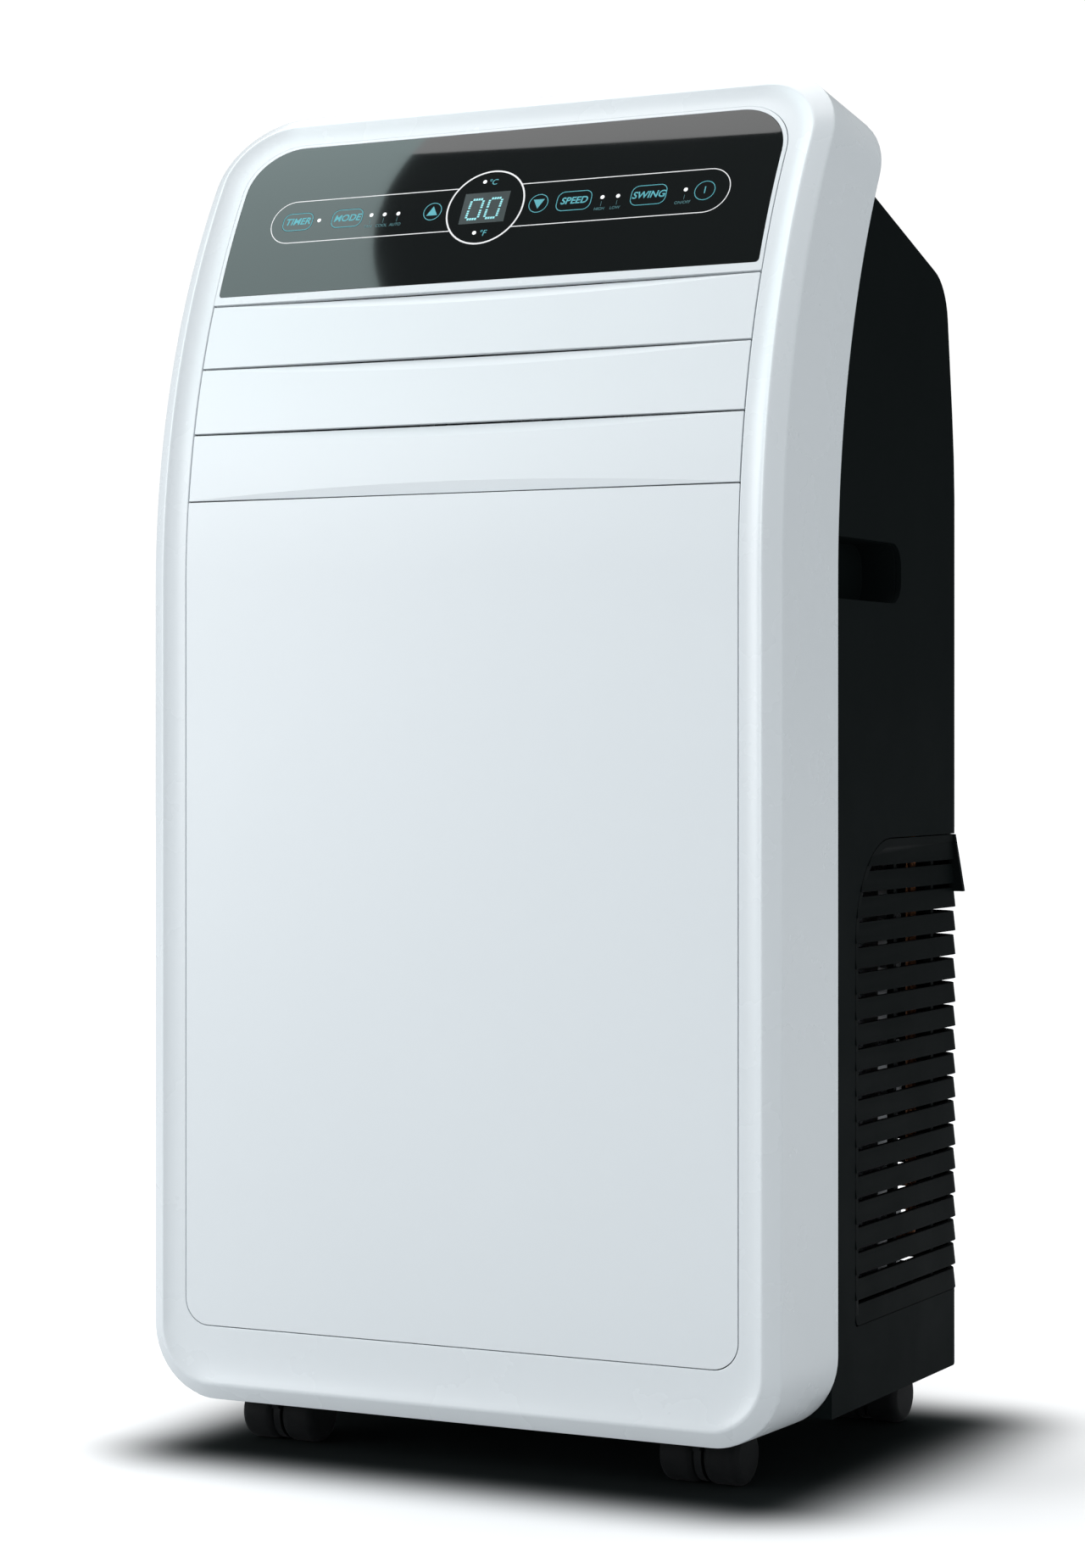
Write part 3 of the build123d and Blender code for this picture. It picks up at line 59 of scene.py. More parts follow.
# ---------------------------------------------------------------- sizes, in metres
MM = 0.001
HALF_WIDTH = cad_box[1][0]
FRONT_Y = cad_box[0][1]
BASE_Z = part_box("front_bezel")[0].z
BEND_Z = 0.4747                 # where the front starts to lean back
FRONT_RADIUS = 0.4637
TOP_RUN = 0.291                 # length of the leaning part along its surface
TOP_SLOPE = 0.19
BEZEL_DEPTH = 0.076
BEZEL_WALL = 0.003
RIDGE_INSET = 0.009
CHAMFER_DEPTH = 0.0063
CORNER_LOW = 0.040
CORNER_TOP = 0.045
REAR_TOP_RADIUS = 0.015
ROOF_Z = 0.6878                 # underside of the bezel's rear opening at the casing's roof

OPENING_HALF = 0.1692
OPENING_LOW = 0.0675 - BEND_Z   # runs are measured along the front from the bend
OPENING_TOP = 0.2685
OPENING_LOW_RADIUS = 0.015
OPENING_TOP_RADIUS = 0.032
FACE_DEPTH = 0.0025
FACE_BACK = 0.0054
PANEL_TOP = 0.0471
PANEL_GAP = 0.0006
PANEL_THICKNESS = 0.003

LOUVER_START = 0.0474
LOUVER_PITCH = 0.0382
BLADE_HALF_HEIGHT = 0.0185
BLADE_HALF_LENGTH = 0.1684
BLADE_THICKNESS = 0.003
SCOOP_HEIGHT = 0.006
SCOOP_DEPTH = 0.002

SURROUND_LOW = 0.1626
SURROUND_GAP = 0.0004
LENS_GAP = 0.0003
LENS_LOW = 0.1676
LENS_TOP = 0.2659
LENS_HALF = 0.1664
LENS_DEPTH = 0.0023
LENS_BACK = 0.0043
LENS_SPACING = 0.004            # bend step of sheets on the display
KEY_RUN = 0.2135
KEYS = {
    "timer": (-0.1260, 0.0195, 0.0116),
    "mode": (-0.0938, 0.0200, 0.0120),
    "up": (-0.0390, 0.0115, 0.0115),
    "down": (0.0270, 0.0120, 0.0120),
    "speed": (0.0487, 0.0213, 0.0126),
    "swing": (0.0936, 0.0214, 0.0128),
    "power": (0.1268, 0.0123, 0.0123),
}
KEY_GAP = 0.00018
KEY_CORNER = 0.0045


# ---------------------------------------------------------------- the curved front
def front_point(run, depth=0.0):
    """(y, z) of a point of the front, run above the bend and depth under the surface."""
    if run <= 0:
        return (FRONT_Y + depth, BEND_Z + run)
    angle = run / FRONT_RADIUS
    radius = FRONT_RADIUS - depth
    return (FRONT_Y + FRONT_RADIUS - radius * math.cos(angle), BEND_Z + radius * math.sin(angle))


def on_front(x, run, depth=0.0):
    y, z = front_point(run, depth)
    return (x, y, z)


def y_at_depth(z, depth):
    """y of the surface that lies depth under the front, at height z."""
    if z <= BEND_Z:
        return FRONT_Y + depth
    radius = FRONT_RADIUS - depth
    return FRONT_Y + FRONT_RADIUS - math.sqrt(radius**2 - (z - BEND_Z) ** 2)


def run_at(z):
    if z <= BEND_Z:
        return z - BEND_Z
    return FRONT_RADIUS * math.asin((z - BEND_Z) / FRONT_RADIUS)


# ---------------------------------------------------------------- materials
def node(tree, kind, **values):
    """Adds a node; values set its properties, or its inputs where the name starts with in_."""
    made = tree.nodes.new(kind)
    for key, value in values.items():
        if key.startswith("in_"):
            made.inputs[key[3:].replace("_", " ")].default_value = value
        else:
            setattr(made, key, value)
    return made


def group_tree(name, inputs, outputs):
    """An empty shader group with those sockets, and its two end nodes."""
    tree = bpy.data.node_groups.new(name, "ShaderNodeTree")
    for label, kind, value in inputs:
        socket = tree.interface.new_socket(name=label, in_out="INPUT", socket_type=kind)
        socket.default_value = value
    for label, kind in outputs:
        tree.interface.new_socket(name=label, in_out="OUTPUT", socket_type=kind)
    return tree, tree.nodes.new("NodeGroupInput"), tree.nodes.new("NodeGroupOutput")


def make_tone_group():
    """Slow drift between two tones, with a finer mottle on top."""
    tree, ends, out = group_tree(
        "tone_drift",
        [
            ("Tone A", "NodeSocketColor", (1, 1, 1, 1)),
            ("Tone B", "NodeSocketColor", (0, 0, 0, 1)),
            ("Size", "NodeSocketFloat", 4.0),
            ("Mottle", "NodeSocketFloat", 0.2),
        ],
        [("Colour", "NodeSocketColor"), ("Mask", "NodeSocketFloat")],
    )
    place = node(tree, "ShaderNodeTexCoord")
    slow = node(tree, "ShaderNodeTexNoise", in_Detail=3.0, in_Roughness=0.55)
    fine = node(tree, "ShaderNodeTexNoise", in_Scale=160.0, in_Detail=2.0)
    blend = node(tree, "ShaderNodeMix", data_type="FLOAT")
    curve = node(tree, "ShaderNodeMapRange")
    curve.interpolation_type = "SMOOTHSTEP"
    curve.inputs["From Min"].default_value = 0.15
    curve.inputs["From Max"].default_value = 0.85
    mix = node(tree, "ShaderNodeMix", data_type="RGBA")
    link = tree.links.new
    link(place.outputs["Object"], slow.inputs["Vector"])
    link(place.outputs["Object"], fine.inputs["Vector"])
    link(ends.outputs["Size"], slow.inputs["Scale"])
    link(ends.outputs["Mottle"], blend.inputs[0])
    link(slow.outputs["Fac"], blend.inputs[2])
    link(fine.outputs["Fac"], blend.inputs[3])
    link(blend.outputs[0], curve.inputs["Value"])
    link(curve.outputs["Result"], mix.inputs[0])
    link(ends.outputs["Tone A"], mix.inputs[6])
    link(ends.outputs["Tone B"], mix.inputs[7])
    link(mix.outputs[2], out.inputs["Colour"])
    link(curve.outputs["Result"], out.inputs["Mask"])
    return tree


def make_grain_group():
    """Moulded grain: a height for bump, and a roughness that drifts with a separate noise."""
    tree, ends, out = group_tree(
        "moulded_grain",
        [
            ("Size", "NodeSocketFloat", 900.0),
            ("Rough Low", "NodeSocketFloat", 0.3),
            ("Rough High", "NodeSocketFloat", 0.4),
        ],
        [("Height", "NodeSocketFloat"), ("Roughness", "NodeSocketFloat")],
    )
    place = node(tree, "ShaderNodeTexCoord")
    pebble = node(tree, "ShaderNodeTexVoronoi", feature="SMOOTH_F1", in_Smoothness=0.6)
    haze = node(tree, "ShaderNodeTexNoise", in_Scale=22.0, in_Detail=4.0)
    span = node(tree, "ShaderNodeMapRange")
    span.interpolation_type = "SMOOTHSTEP"
    span.inputs["From Min"].default_value = 0.1
    span.inputs["From Max"].default_value = 0.9
    link = tree.links.new
    link(place.outputs["Object"], pebble.inputs["Vector"])
    link(place.outputs["Object"], haze.inputs["Vector"])
    link(ends.outputs["Size"], pebble.inputs["Scale"])
    link(haze.outputs["Fac"], span.inputs["Value"])
    link(ends.outputs["Rough Low"], span.inputs["To Min"])
    link(ends.outputs["Rough High"], span.inputs["To Max"])
    link(pebble.outputs["Distance"], out.inputs["Height"])
    link(span.outputs["Result"], out.inputs["Roughness"])
    return tree


def make_dust_group():
    """Mask of fine dust that lies on faces turned upwards."""
    tree, ends, out = group_tree(
        "settled_dust",
        [("Amount", "NodeSocketFloat", 0.2)],
        [("Mask", "NodeSocketFloat")],
    )
    surface = node(tree, "ShaderNodeNewGeometry")
    split = node(tree, "ShaderNodeSeparateXYZ")
    place = node(tree, "ShaderNodeTexCoord")
    speck = node(tree, "ShaderNodeTexNoise", in_Scale=300.0, in_Detail=3.0)
    upward = node(tree, "ShaderNodeMapRange")
    upward.inputs["From Min"].default_value = 0.35
    upward.inputs["From Max"].default_value = 1.0
    first = node(tree, "ShaderNodeMath", operation="MULTIPLY")
    second = node(tree, "ShaderNodeMath", operation="MULTIPLY")
    link = tree.links.new
    link(surface.outputs["Normal"], split.inputs[0])
    link(place.outputs["Object"], speck.inputs["Vector"])
    link(split.outputs["Z"], upward.inputs["Value"])
    link(upward.outputs["Result"], first.inputs[0])
    link(speck.outputs["Fac"], first.inputs[1])
    link(first.outputs[0], second.inputs[0])
    link(ends.outputs["Amount"], second.inputs[1])
    link(second.outputs[0], out.inputs["Mask"])
    return tree


TONE = make_tone_group()
GRAIN = make_grain_group()
DUST = make_dust_group()
DUST_COLOUR = (0.42, 0.40, 0.37, 1)


def finish(name, tone_a, tone_b, rough, size=4.0, mottle=0.2, grain=900.0, bump=0.1,
           bump_depth=0.00003, dust=0.0, **shader):
    """A material with drifting tone, grained roughness and bump, and dust where asked."""
    made = bpy.data.materials.new(name)
    made.use_nodes = True
    tree = made.node_tree
    link = tree.links.new
    bsdf = tree.nodes["Principled BSDF"]
    for key, value in shader.items():
        bsdf.inputs[key.replace("_", " ")].default_value = value
    tone = node(tree, "ShaderNodeGroup", node_tree=TONE)
    tone.inputs["Tone A"].default_value = (*tone_a, 1)
    tone.inputs["Tone B"].default_value = (*tone_b, 1)
    tone.inputs["Size"].default_value = size
    tone.inputs["Mottle"].default_value = mottle
    texture = node(tree, "ShaderNodeGroup", node_tree=GRAIN)
    texture.inputs["Size"].default_value = grain
    texture.inputs["Rough Low"].default_value = rough[0]
    texture.inputs["Rough High"].default_value = rough[1]
    raised = node(tree, "ShaderNodeBump")
    raised.inputs["Strength"].default_value = bump
    raised.inputs["Distance"].default_value = bump_depth
    colour = tone.outputs["Colour"]
    if dust:
        settled = node(tree, "ShaderNodeGroup", node_tree=DUST)
        settled.inputs["Amount"].default_value = dust
        over = node(tree, "ShaderNodeMix", data_type="RGBA")
        over.inputs[7].default_value = DUST_COLOUR
        link(settled.outputs["Mask"], over.inputs[0])
        link(colour, over.inputs[6])
        colour = over.outputs[2]
    link(colour, bsdf.inputs["Base Color"])
    link(texture.outputs["Roughness"], bsdf.inputs["Roughness"])
    link(texture.outputs["Height"], raised.inputs["Height"])
    link(raised.outputs["Normal"], bsdf.inputs["Normal"])
    return made


def glow(name, colour, strength, dim):
    """Lit print: base colour with emission that varies a little over the surface."""
    made = finish(name, colour, [c * dim for c in colour], (0.35, 0.45), size=60, bump=0.02)
    bsdf = made.node_tree.nodes["Principled BSDF"]
    tone = [n for n in made.node_tree.nodes if n.type == "GROUP" and n.node_tree == TONE][0]
    made.node_tree.links.new(tone.outputs["Colour"], bsdf.inputs["Emission Color"])
    bsdf.inputs["Emission Strength"].default_value = strength
    return made


WHITE_SHELL = finish("white_shell", (0.795, 0.835, 0.855), (0.81, 0.85, 0.87), (0.24, 0.30), size=3,
                     mottle=0.1, bump=0.04)
WHITE_FACE = finish("white_face", (0.80, 0.84, 0.86), (0.815, 0.855, 0.875), (0.30, 0.36), size=2.5,
                    mottle=0.1, bump=0.05)
BLACK_SHELL = finish("black_shell", (0.0055, 0.0078, 0.0080), (0.0065, 0.0090, 0.0090), (0.42, 0.52),
                     size=5, bump=0.22, grain=1400, bump_depth=0.00006, dust=0.006,
                     Specular_IOR_Level=0.012)
BLACK_GRILLE = finish("black_grille", (0.0050, 0.0068, 0.0068), (0.0062, 0.0082, 0.0082), (0.40, 0.50),
                      size=6, bump=0.2, grain=1400, bump_depth=0.00006, dust=0.006,
                      Specular_IOR_Level=0.015)
LENS_BLACK = finish("lens_black", (0.0045, 0.0060, 0.0060), (0.0060, 0.0078, 0.0078), (0.03, 0.05),
                    size=3, mottle=0.05, bump=0.0, Coat_Weight=0.3, Coat_Roughness=0.02)
KEY_BLACK = finish("key_black", (0.0050, 0.0066, 0.0066), (0.0064, 0.0082, 0.0082), (0.04, 0.07),
                   size=8, mottle=0.05, bump=0.0, Coat_Weight=0.3, Coat_Roughness=0.03)
WINDOW_GREY = finish("window_grey", (0.060, 0.075, 0.075), (0.075, 0.090, 0.090), (0.10, 0.16), size=40)
PRINT_WHITE = glow("print_white", (0.86, 0.84, 0.84), 0.12, 0.92)
PRINT_CYAN = glow("print_cyan", (0.075, 0.42, 0.48), 0.05, 0.85)
PRINT_DIM = glow("print_dim", (0.055, 0.20, 0.22), 0.02, 0.85)
DIGIT_GLOW = glow("digit_glow", (0.28, 0.70, 0.74), 0.35, 0.80)
INDICATOR = glow("indicator", (0.95, 0.95, 0.95), 0.25, 0.95)
GREY_INNER = finish("grey_inner", (0.10, 0.105, 0.11), (0.13, 0.135, 0.14), (0.45, 0.6), bump=0.2, dust=0.1)
CASTER_BLACK = finish("caster_black", (0.0085, 0.0095, 0.0100), (0.0125, 0.0135, 0.0140), (0.36, 0.5),
                      size=30, bump=0.15, grain=1100, dust=0.01, Specular_IOR_Level=0.08)
TREAD_BLACK = finish("tread_black", (0.0075, 0.0085, 0.0090), (0.0125, 0.0130, 0.0135), (0.48, 0.62),
                     size=40, bump=0.3, grain=800, dust=0.01, Specular_IOR_Level=0.08)
BOARD_GREEN = finish("board_green", (0.012, 0.085, 0.035), (0.018, 0.11, 0.05), (0.3, 0.45), size=60,
                     bump=0.3)
STEEL_BLACK = finish("steel_black", (0.016, 0.017, 0.018), (0.028, 0.029, 0.030), (0.3, 0.5), size=14,
                     bump=0.3, dust=0.15)
COIL_ALUMINIUM = finish("coil_aluminium", (0.62, 0.64, 0.66), (0.74, 0.75, 0.76), (0.28, 0.45), size=25,
                        bump=0.25, Metallic=1.0)
PIPE_COPPER = finish("pipe_copper", (0.72, 0.33, 0.17), (0.60, 0.24, 0.11), (0.25, 0.42), size=35,
                     bump=0.15, Metallic=1.0)
RUBBER_BLACK = finish("rubber_black", (0.014, 0.014, 0.015), (0.022, 0.022, 0.023), (0.7, 0.85),
                      size=30, bump=0.35, dust=0.1)
FILTER_MESH = finish("filter_mesh", (0.028, 0.031, 0.034), (0.045, 0.048, 0.052), (0.55, 0.7), size=40,
                     bump=0.5, dust=0.2)
GALVANISED = finish("galvanised", (0.50, 0.52, 0.53), (0.64, 0.65, 0.66), (0.3, 0.5), size=45, mottle=0.5,
                    bump=0.2, Metallic=1.0)
SCREW_STEEL = finish("screw_steel", (0.10, 0.10, 0.105), (0.16, 0.16, 0.165), (0.3, 0.42), size=60,
                     bump=0.15, Metallic=1.0)


# ---------------------------------------------------------------- mesh helpers
def new_object(name, points, faces, material):
    mesh = bpy.data.meshes.new(name)
    mesh.from_pydata([tuple(p) for p in points], [], faces)
    mesh.materials.append(material)
    made = bpy.data.objects.new(name, mesh)
    bpy.context.scene.collection.objects.link(made)
    return made


def tidy_mesh(obj, angle=35.0, merge=1e-6):
    """Merges doubles, turns faces outwards and sets smooth shading with sharp edges."""
    work = bmesh.new()
    work.from_mesh(obj.data)
    bmesh.ops.remove_doubles(work, verts=work.verts, dist=merge)
    bmesh.ops.dissolve_degenerate(work, edges=work.edges, dist=merge)
    bmesh.ops.recalc_face_normals(work, faces=work.faces)
    work.to_mesh(obj.data)
    work.free()
    obj.data.shade_smooth()
    obj.data.set_sharp_from_angle(angle=math.radians(angle))


def round_edges(obj, width, angle=40.0, segments=2):
    bevel = obj.modifiers.new("rounding", "BEVEL")
    bevel.width = width
    bevel.segments = segments
    bevel.limit_method = "ANGLE"
    bevel.angle_limit = math.radians(angle)
    bevel.harden_normals = True
    bevel.use_clamp_overlap = True
    return obj


def settle(obj, body, slot, *stands_for):
    """The piece rides on its body and stands for CAD nodes, which it hides; slot is not used."""
    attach(obj, body)
    if stands_for:
        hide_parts(*stands_for)
    return obj


# ---------------------------------------------------------------- bezel
TURNS_LOW = (0, 5, 10, 15.96, 16.7, 22, 30, 38, 46, 54, 62, 70, 77, 84, 90)
TURNS_TOP = (0, 6, 12, 18, 25, 32, 39, 46, 53, 60, 67, 73, 79, 85, 90)
SIDE_STEPS = 84
WIDTH_STEPS = 26
CASTER_ROOM_HALF = 0.1631
CASTER_ROOM_SETBACK = 0.0065
CASTER_ROOM_TOP = 0.06
COVE_STEPS = (0.06, 0.12, 0.2, 0.3, 0.42, 0.55, 0.7, 0.85, 0.95)
SIDE_SETBACKS = (9, 20, 38, 54, 58, 61, 63, 65, 67, 69, 71, 73, 74.5)
REAR_STEPS = (0.05, 0.10, 0.15, 0.20, 0.25, 0.30, 0.36, 0.45, 0.7)
SOLVER_ROUNDS = 40


def over_casters(x, z):
    """Whether a point lies in the low middle of the bezel, where the casters need room."""
    return z < CASTER_ROOM_TOP and abs(x) < CASTER_ROOM_HALF


def ring_plan(half, low, high, low_radius, top_radius):
    """Points (x, height, part) round a rounded rectangle, from the lower left, counter-clockwise."""
    plan = []
    for step in range(WIDTH_STEPS):
        share = (step + 0.5) / WIDTH_STEPS
        plan.append(((half - low_radius) * (2 * share - 1), low, "low"))
    for turn in TURNS_LOW:
        a = math.radians(turn)
        x = half - low_radius + low_radius * math.sin(a)
        plan.append((x, low + low_radius * (1 - math.cos(a)), "low"))
    for step in range(1, SIDE_STEPS):
        share = step / SIDE_STEPS
        plan.append((half, share, "side"))
    for turn in TURNS_TOP:
        a = math.radians(turn)
        x = half - top_radius + top_radius * math.cos(a)
        plan.append((x, high - top_radius * (1 - math.sin(a)), "top"))
    for step in range(WIDTH_STEPS):
        share = (step + 0.5) / WIDTH_STEPS
        plan.append(((half - top_radius) * (1 - 2 * share), high, "top"))
    for turn in reversed(TURNS_TOP):
        a = math.radians(turn)
        x = half - top_radius + top_radius * math.cos(a)
        plan.append((-x, high - top_radius * (1 - math.sin(a)), "top"))
    for step in range(1, SIDE_STEPS):
        plan.append((-half, 1 - step / SIDE_STEPS, "side"))
    for turn in reversed(TURNS_LOW):
        a = math.radians(turn)
        x = half - low_radius + low_radius * math.sin(a)
        plan.append((-x, low + low_radius * (1 - math.cos(a)), "low"))
    return plan


def placed(plan, low_end, top_end, lift):
    """The plan's points with real heights: lift moves the upper part, sides lie between."""
    return [
        (x, low_end + (top_end - low_end) * h if part == "side" else lift(h) if part == "top" else h)
        for x, h, part in plan
    ]


TOP_Y, TOP_Z = front_point(TOP_RUN)
VIEW_Y = FRONT_Y - 0.010


def outer_ring(inset, depth=None, setback=None):
    """Bezel outline shrunk by inset, at a depth under the front or set straight back from it."""
    stretch = math.sqrt(1 + TOP_SLOPE**2)
    high = TOP_Z + TOP_SLOPE * (TOP_Y - VIEW_Y) - inset * stretch
    half = HALF_WIDTH - inset
    low = BASE_Z + inset
    low_radius = CORNER_LOW - inset
    top_radius = CORNER_TOP - inset

    def y_of(z):
        if depth is not None:
            return y_at_depth(z, depth)
        return y_at_depth(z, 0) + setback

    def lift(h):
        z = h
        for _ in range(SOLVER_ROUNDS):
            z = h - TOP_SLOPE * (y_of(z) - VIEW_Y)
        return z

    plan = ring_plan(half, low, high, low_radius, top_radius)
    points = []
    for x, z in placed(plan, low + low_radius, lift(high - top_radius), lift):
        y = y_of(z)
        if over_casters(x, z):
            y = min(y, FRONT_Y + CASTER_ROOM_SETBACK)
        y, z = round_rear_top(y, z, inset)
        points.append((x, y, z))
    return np.array(points)


def rear_top_rounding():
    """Centre of the rounding along the rear top edge, and the directions of its two walls."""
    z = TOP_Z
    for _ in range(SOLVER_ROUNDS):
        y = y_at_depth(z, 0) + BEZEL_DEPTH
        z = TOP_Z - TOP_SLOPE * (y - TOP_Y)
    lean = math.asin((z - BEND_Z) / FRONT_RADIUS)
    stretch = math.sqrt(1 + TOP_SLOPE**2)
    along_top = np.array((1, -TOP_SLOPE)) / stretch
    along_rear = np.array((math.sin(lean), math.cos(lean)))
    inner_angle = math.acos(float(np.dot(along_top, along_rear)))
    inwards = -(along_top + along_rear)
    inwards /= np.linalg.norm(inwards)
    centre = np.array((y, z)) + inwards * REAR_TOP_RADIUS / math.sin(inner_angle / 2)
    return centre, along_top, along_rear


ROUND_CENTRE, ALONG_TOP, ALONG_REAR = rear_top_rounding()


def round_rear_top(y, z, inset):
    """Pulls a point beyond the rounding of the rear top edge back onto it."""
    away = np.array((y, z)) - ROUND_CENTRE
    reach = np.linalg.norm(away)
    radius = REAR_TOP_RADIUS - inset
    if np.dot(away, ALONG_TOP) > 0 and np.dot(away, ALONG_REAR) > 0 and reach > radius:
        y, z = ROUND_CENTRE + away * radius / reach
    return float(y), float(z)


def opening_ring(depth, grow=0.0):
    """(x, run) outline of the front opening as points at a depth under the surface."""
    low_radius = OPENING_LOW_RADIUS + grow
    top_radius = OPENING_TOP_RADIUS + grow
    low, top = OPENING_LOW - grow, OPENING_TOP + grow
    plan = ring_plan(OPENING_HALF + grow, low, top, low_radius, top_radius)
    flat = placed(plan, low + low_radius, top - top_radius, lambda h: h)
    return flat, np.array([on_front(x, run, depth) for x, run in flat])


def cove_rings(ridge, steps, hollow=3.2):
    """Rings of the concave border between the ridge and the opening."""
    flat, _ = opening_ring(FACE_DEPTH)
    rings = []
    for share in steps:
        depth = FACE_DEPTH * (1 - (1 - share) ** hollow)
        points = []
        for (x, run), start in zip(flat, ridge):
            ridge_run = run_at(start[2])
            across = start[0] + share * (x - start[0])
            points.append(on_front(across, ridge_run + share * (run - ridge_run), depth))
        rings.append(np.array(points))
    return rings


def eased(before, corner, after, reach, steps=4):
    """Rings that round the edge at corner between its two neighbours."""
    def towards(other):
        gap = other - corner
        length = np.linalg.norm(gap, axis=1, keepdims=True)
        return corner + gap / np.maximum(length, 1e-9) * np.minimum(reach, 0.45 * length)

    start, end = towards(before), towards(after)
    rings = []
    for step in range(steps + 1):
        t = step / steps
        rings.append((1 - t) ** 2 * start + 2 * t * (1 - t) * corner + t**2 * end)
    return rings


def rear_opening_ring(setback):
    """Outline of the bezel's open rear, up to the roof of the casing."""
    inset = BEZEL_WALL
    roof_corner = 0.002
    plan = ring_plan(HALF_WIDTH - inset, BASE_Z + inset, ROOF_Z, CORNER_LOW - inset, roof_corner)
    points = []
    for x, z in placed(plan, BASE_Z + CORNER_LOW, ROOF_Z - roof_corner, lambda h: h):
        y = y_at_depth(z, 0) + setback
        if over_casters(x, z):
            y = min(y, FRONT_Y + CASTER_ROOM_SETBACK)
        points.append((x, y, z))
    return np.array(points)


def grid_faces(ring_count, around):
    """Quads between successive rings, the last of which joins the first."""
    faces = []
    for ring in range(ring_count):
        following = (ring + 1) % ring_count
        for i in range(around):
            j = (i + 1) % around
            first, second = ring * around, following * around
            faces.append((first + i, first + j, second + j, second + i))
    return faces


def build_bezel():
    ridge = outer_ring(RIDGE_INSET, depth=0.0)
    side_front = outer_ring(0.0, depth=CHAMFER_DEPTH)
    rear_rim = outer_ring(0.0, setback=BEZEL_DEPTH)
    return_back = opening_ring(FACE_BACK)[1]
    opening_edge = opening_ring(FACE_DEPTH)[1]
    cove = cove_rings(ridge, COVE_STEPS)
    sides = [outer_ring(0.0, setback=back * MM) for back in SIDE_SETBACKS]
    open_rear = rear_opening_ring(BEZEL_DEPTH)
    rear_wall = []
    for share in REAR_STEPS:
        mixed = rear_rim + share * (open_rear - rear_rim)
        for point in mixed:
            if not over_casters(point[0], point[2]):
                point[1] = y_at_depth(point[2], 0) + BEZEL_DEPTH
                point[1], point[2] = round_rear_top(point[1], point[2], 0.0)
        rear_wall.append(mixed)
    rings = [return_back]
    rings += eased(return_back, opening_edge, cove[-1], 0.35 * MM, 3)
    rings += list(reversed(cove[1:]))
    rings += eased(cove[1], ridge, side_front, 1.5 * MM, 5)
    rings += eased(ridge, side_front, sides[0], 1.2 * MM, 4)
    rings += sides
    rings += eased(sides[-1], rear_rim, rear_wall[0], 0.6 * MM, 3)
    rings += rear_wall
    rings.append(open_rear)
    rings.append(rear_opening_ring(BEZEL_DEPTH - BEZEL_WALL))
    rings.append(outer_ring(BEZEL_WALL, setback=BEZEL_DEPTH - 2 * BEZEL_WALL))
    rings.append(outer_ring(BEZEL_WALL, depth=0.006))
    faces = grid_faces(len(rings), len(ridge))
    bezel = new_object("bezel_shell", np.vstack(rings), faces, WHITE_SHELL)
    tidy_mesh(bezel, angle=38)
    return settle(bezel, "cabinet", "white_abs", "front_bezel")


# ---------------------------------------------------------------- plates on the front
def arc_corner(cx, cy, radius, start, end, steps):
    turns = [start + (end - start) * i / steps for i in range(steps + 1)]
    return [(cx + radius * math.cos(turn), cy + radius * math.sin(turn)) for turn in turns]


def rounded_loop(half, low, high, low_radius, top_radius, centre=0.0, steps=10):
    """Counter-clockwise rounded rectangle in (x, run)."""
    quarter = math.pi / 2
    points = []
    for cx, cy, radius, start in (
        (half - low_radius, low + low_radius, low_radius, -quarter),
        (half - top_radius, high - top_radius, top_radius, 0.0),
        (-half + top_radius, high - top_radius, top_radius, quarter),
        (-half + low_radius, low + low_radius, low_radius, 2 * quarter),
    ):
        count = steps if radius > 0.5 * MM else 3
        points += arc_corner(centre + cx, cy, radius, start, start + quarter, count)
    return points


def flat_sheet(loops):
    """A flat bmesh in (x, run) filled between its outer loop and its holes."""
    work = bmesh.new()
    edges = []
    for loop in loops:
        corners = [work.verts.new((x, run, 0)) for x, run in loop]
        edges += [work.edges.new((a, b)) for a, b in zip(corners, corners[1:] + corners[:1])]
    bmesh.ops.triangle_fill(work, use_beauty=True, use_dissolve=False, edges=edges)
    for face in work.faces:
        face.normal_update()
        if face.normal.z < 0:
            face.normal_flip()
    return work


def laid_on_front(name, work, front_depth, back_depth, material, spacing=0.006):
    """Bends a flat sheet onto the front and gives it a thickness."""
    runs = [v.co.y for v in work.verts]
    run = max(min(runs), 0.0)
    run = math.ceil(run / spacing + 1e-6) * spacing
    while run < max(runs):
        geometry = work.verts[:] + work.edges[:] + work.faces[:]
        bmesh.ops.bisect_plane(
            work, geom=geometry, dist=1e-7, plane_co=(0, run, 0), plane_no=(0, 1, 0)
        )
        run += spacing
    work.verts.ensure_lookup_table()
    work.verts.index_update()
    count = len(work.verts)
    points = [on_front(v.co.x, v.co.y, front_depth) for v in work.verts]
    points += [on_front(v.co.x, v.co.y, back_depth) for v in work.verts]
    faces = []
    for face in work.faces:
        corners = [v.index for v in face.verts]
        faces.append(corners)
        faces.append([i + count for i in reversed(corners)])
    for edge in work.edges:
        if len(edge.link_faces) == 1:
            loop = edge.link_loops[0]
            a, b = loop.vert.index, loop.link_loop_next.vert.index
            faces.append((b, a, a + count, b + count))
    work.free()
    made = new_object(name, points, faces, material)
    tidy_mesh(made, angle=30)
    return made


def build_panel():
    half = OPENING_HALF - PANEL_GAP
    corner = OPENING_LOW_RADIUS - PANEL_GAP
    loop = rounded_loop(half, OPENING_LOW + PANEL_GAP, PANEL_TOP, corner, 0.6 * MM)
    back = FACE_DEPTH + PANEL_THICKNESS
    panel = laid_on_front("front_panel_face", flat_sheet([loop]), FACE_DEPTH, back, WHITE_FACE)
    round_edges(panel, 0.5 * MM)
    return settle(panel, "cabinet", "white_abs", "front_panel")


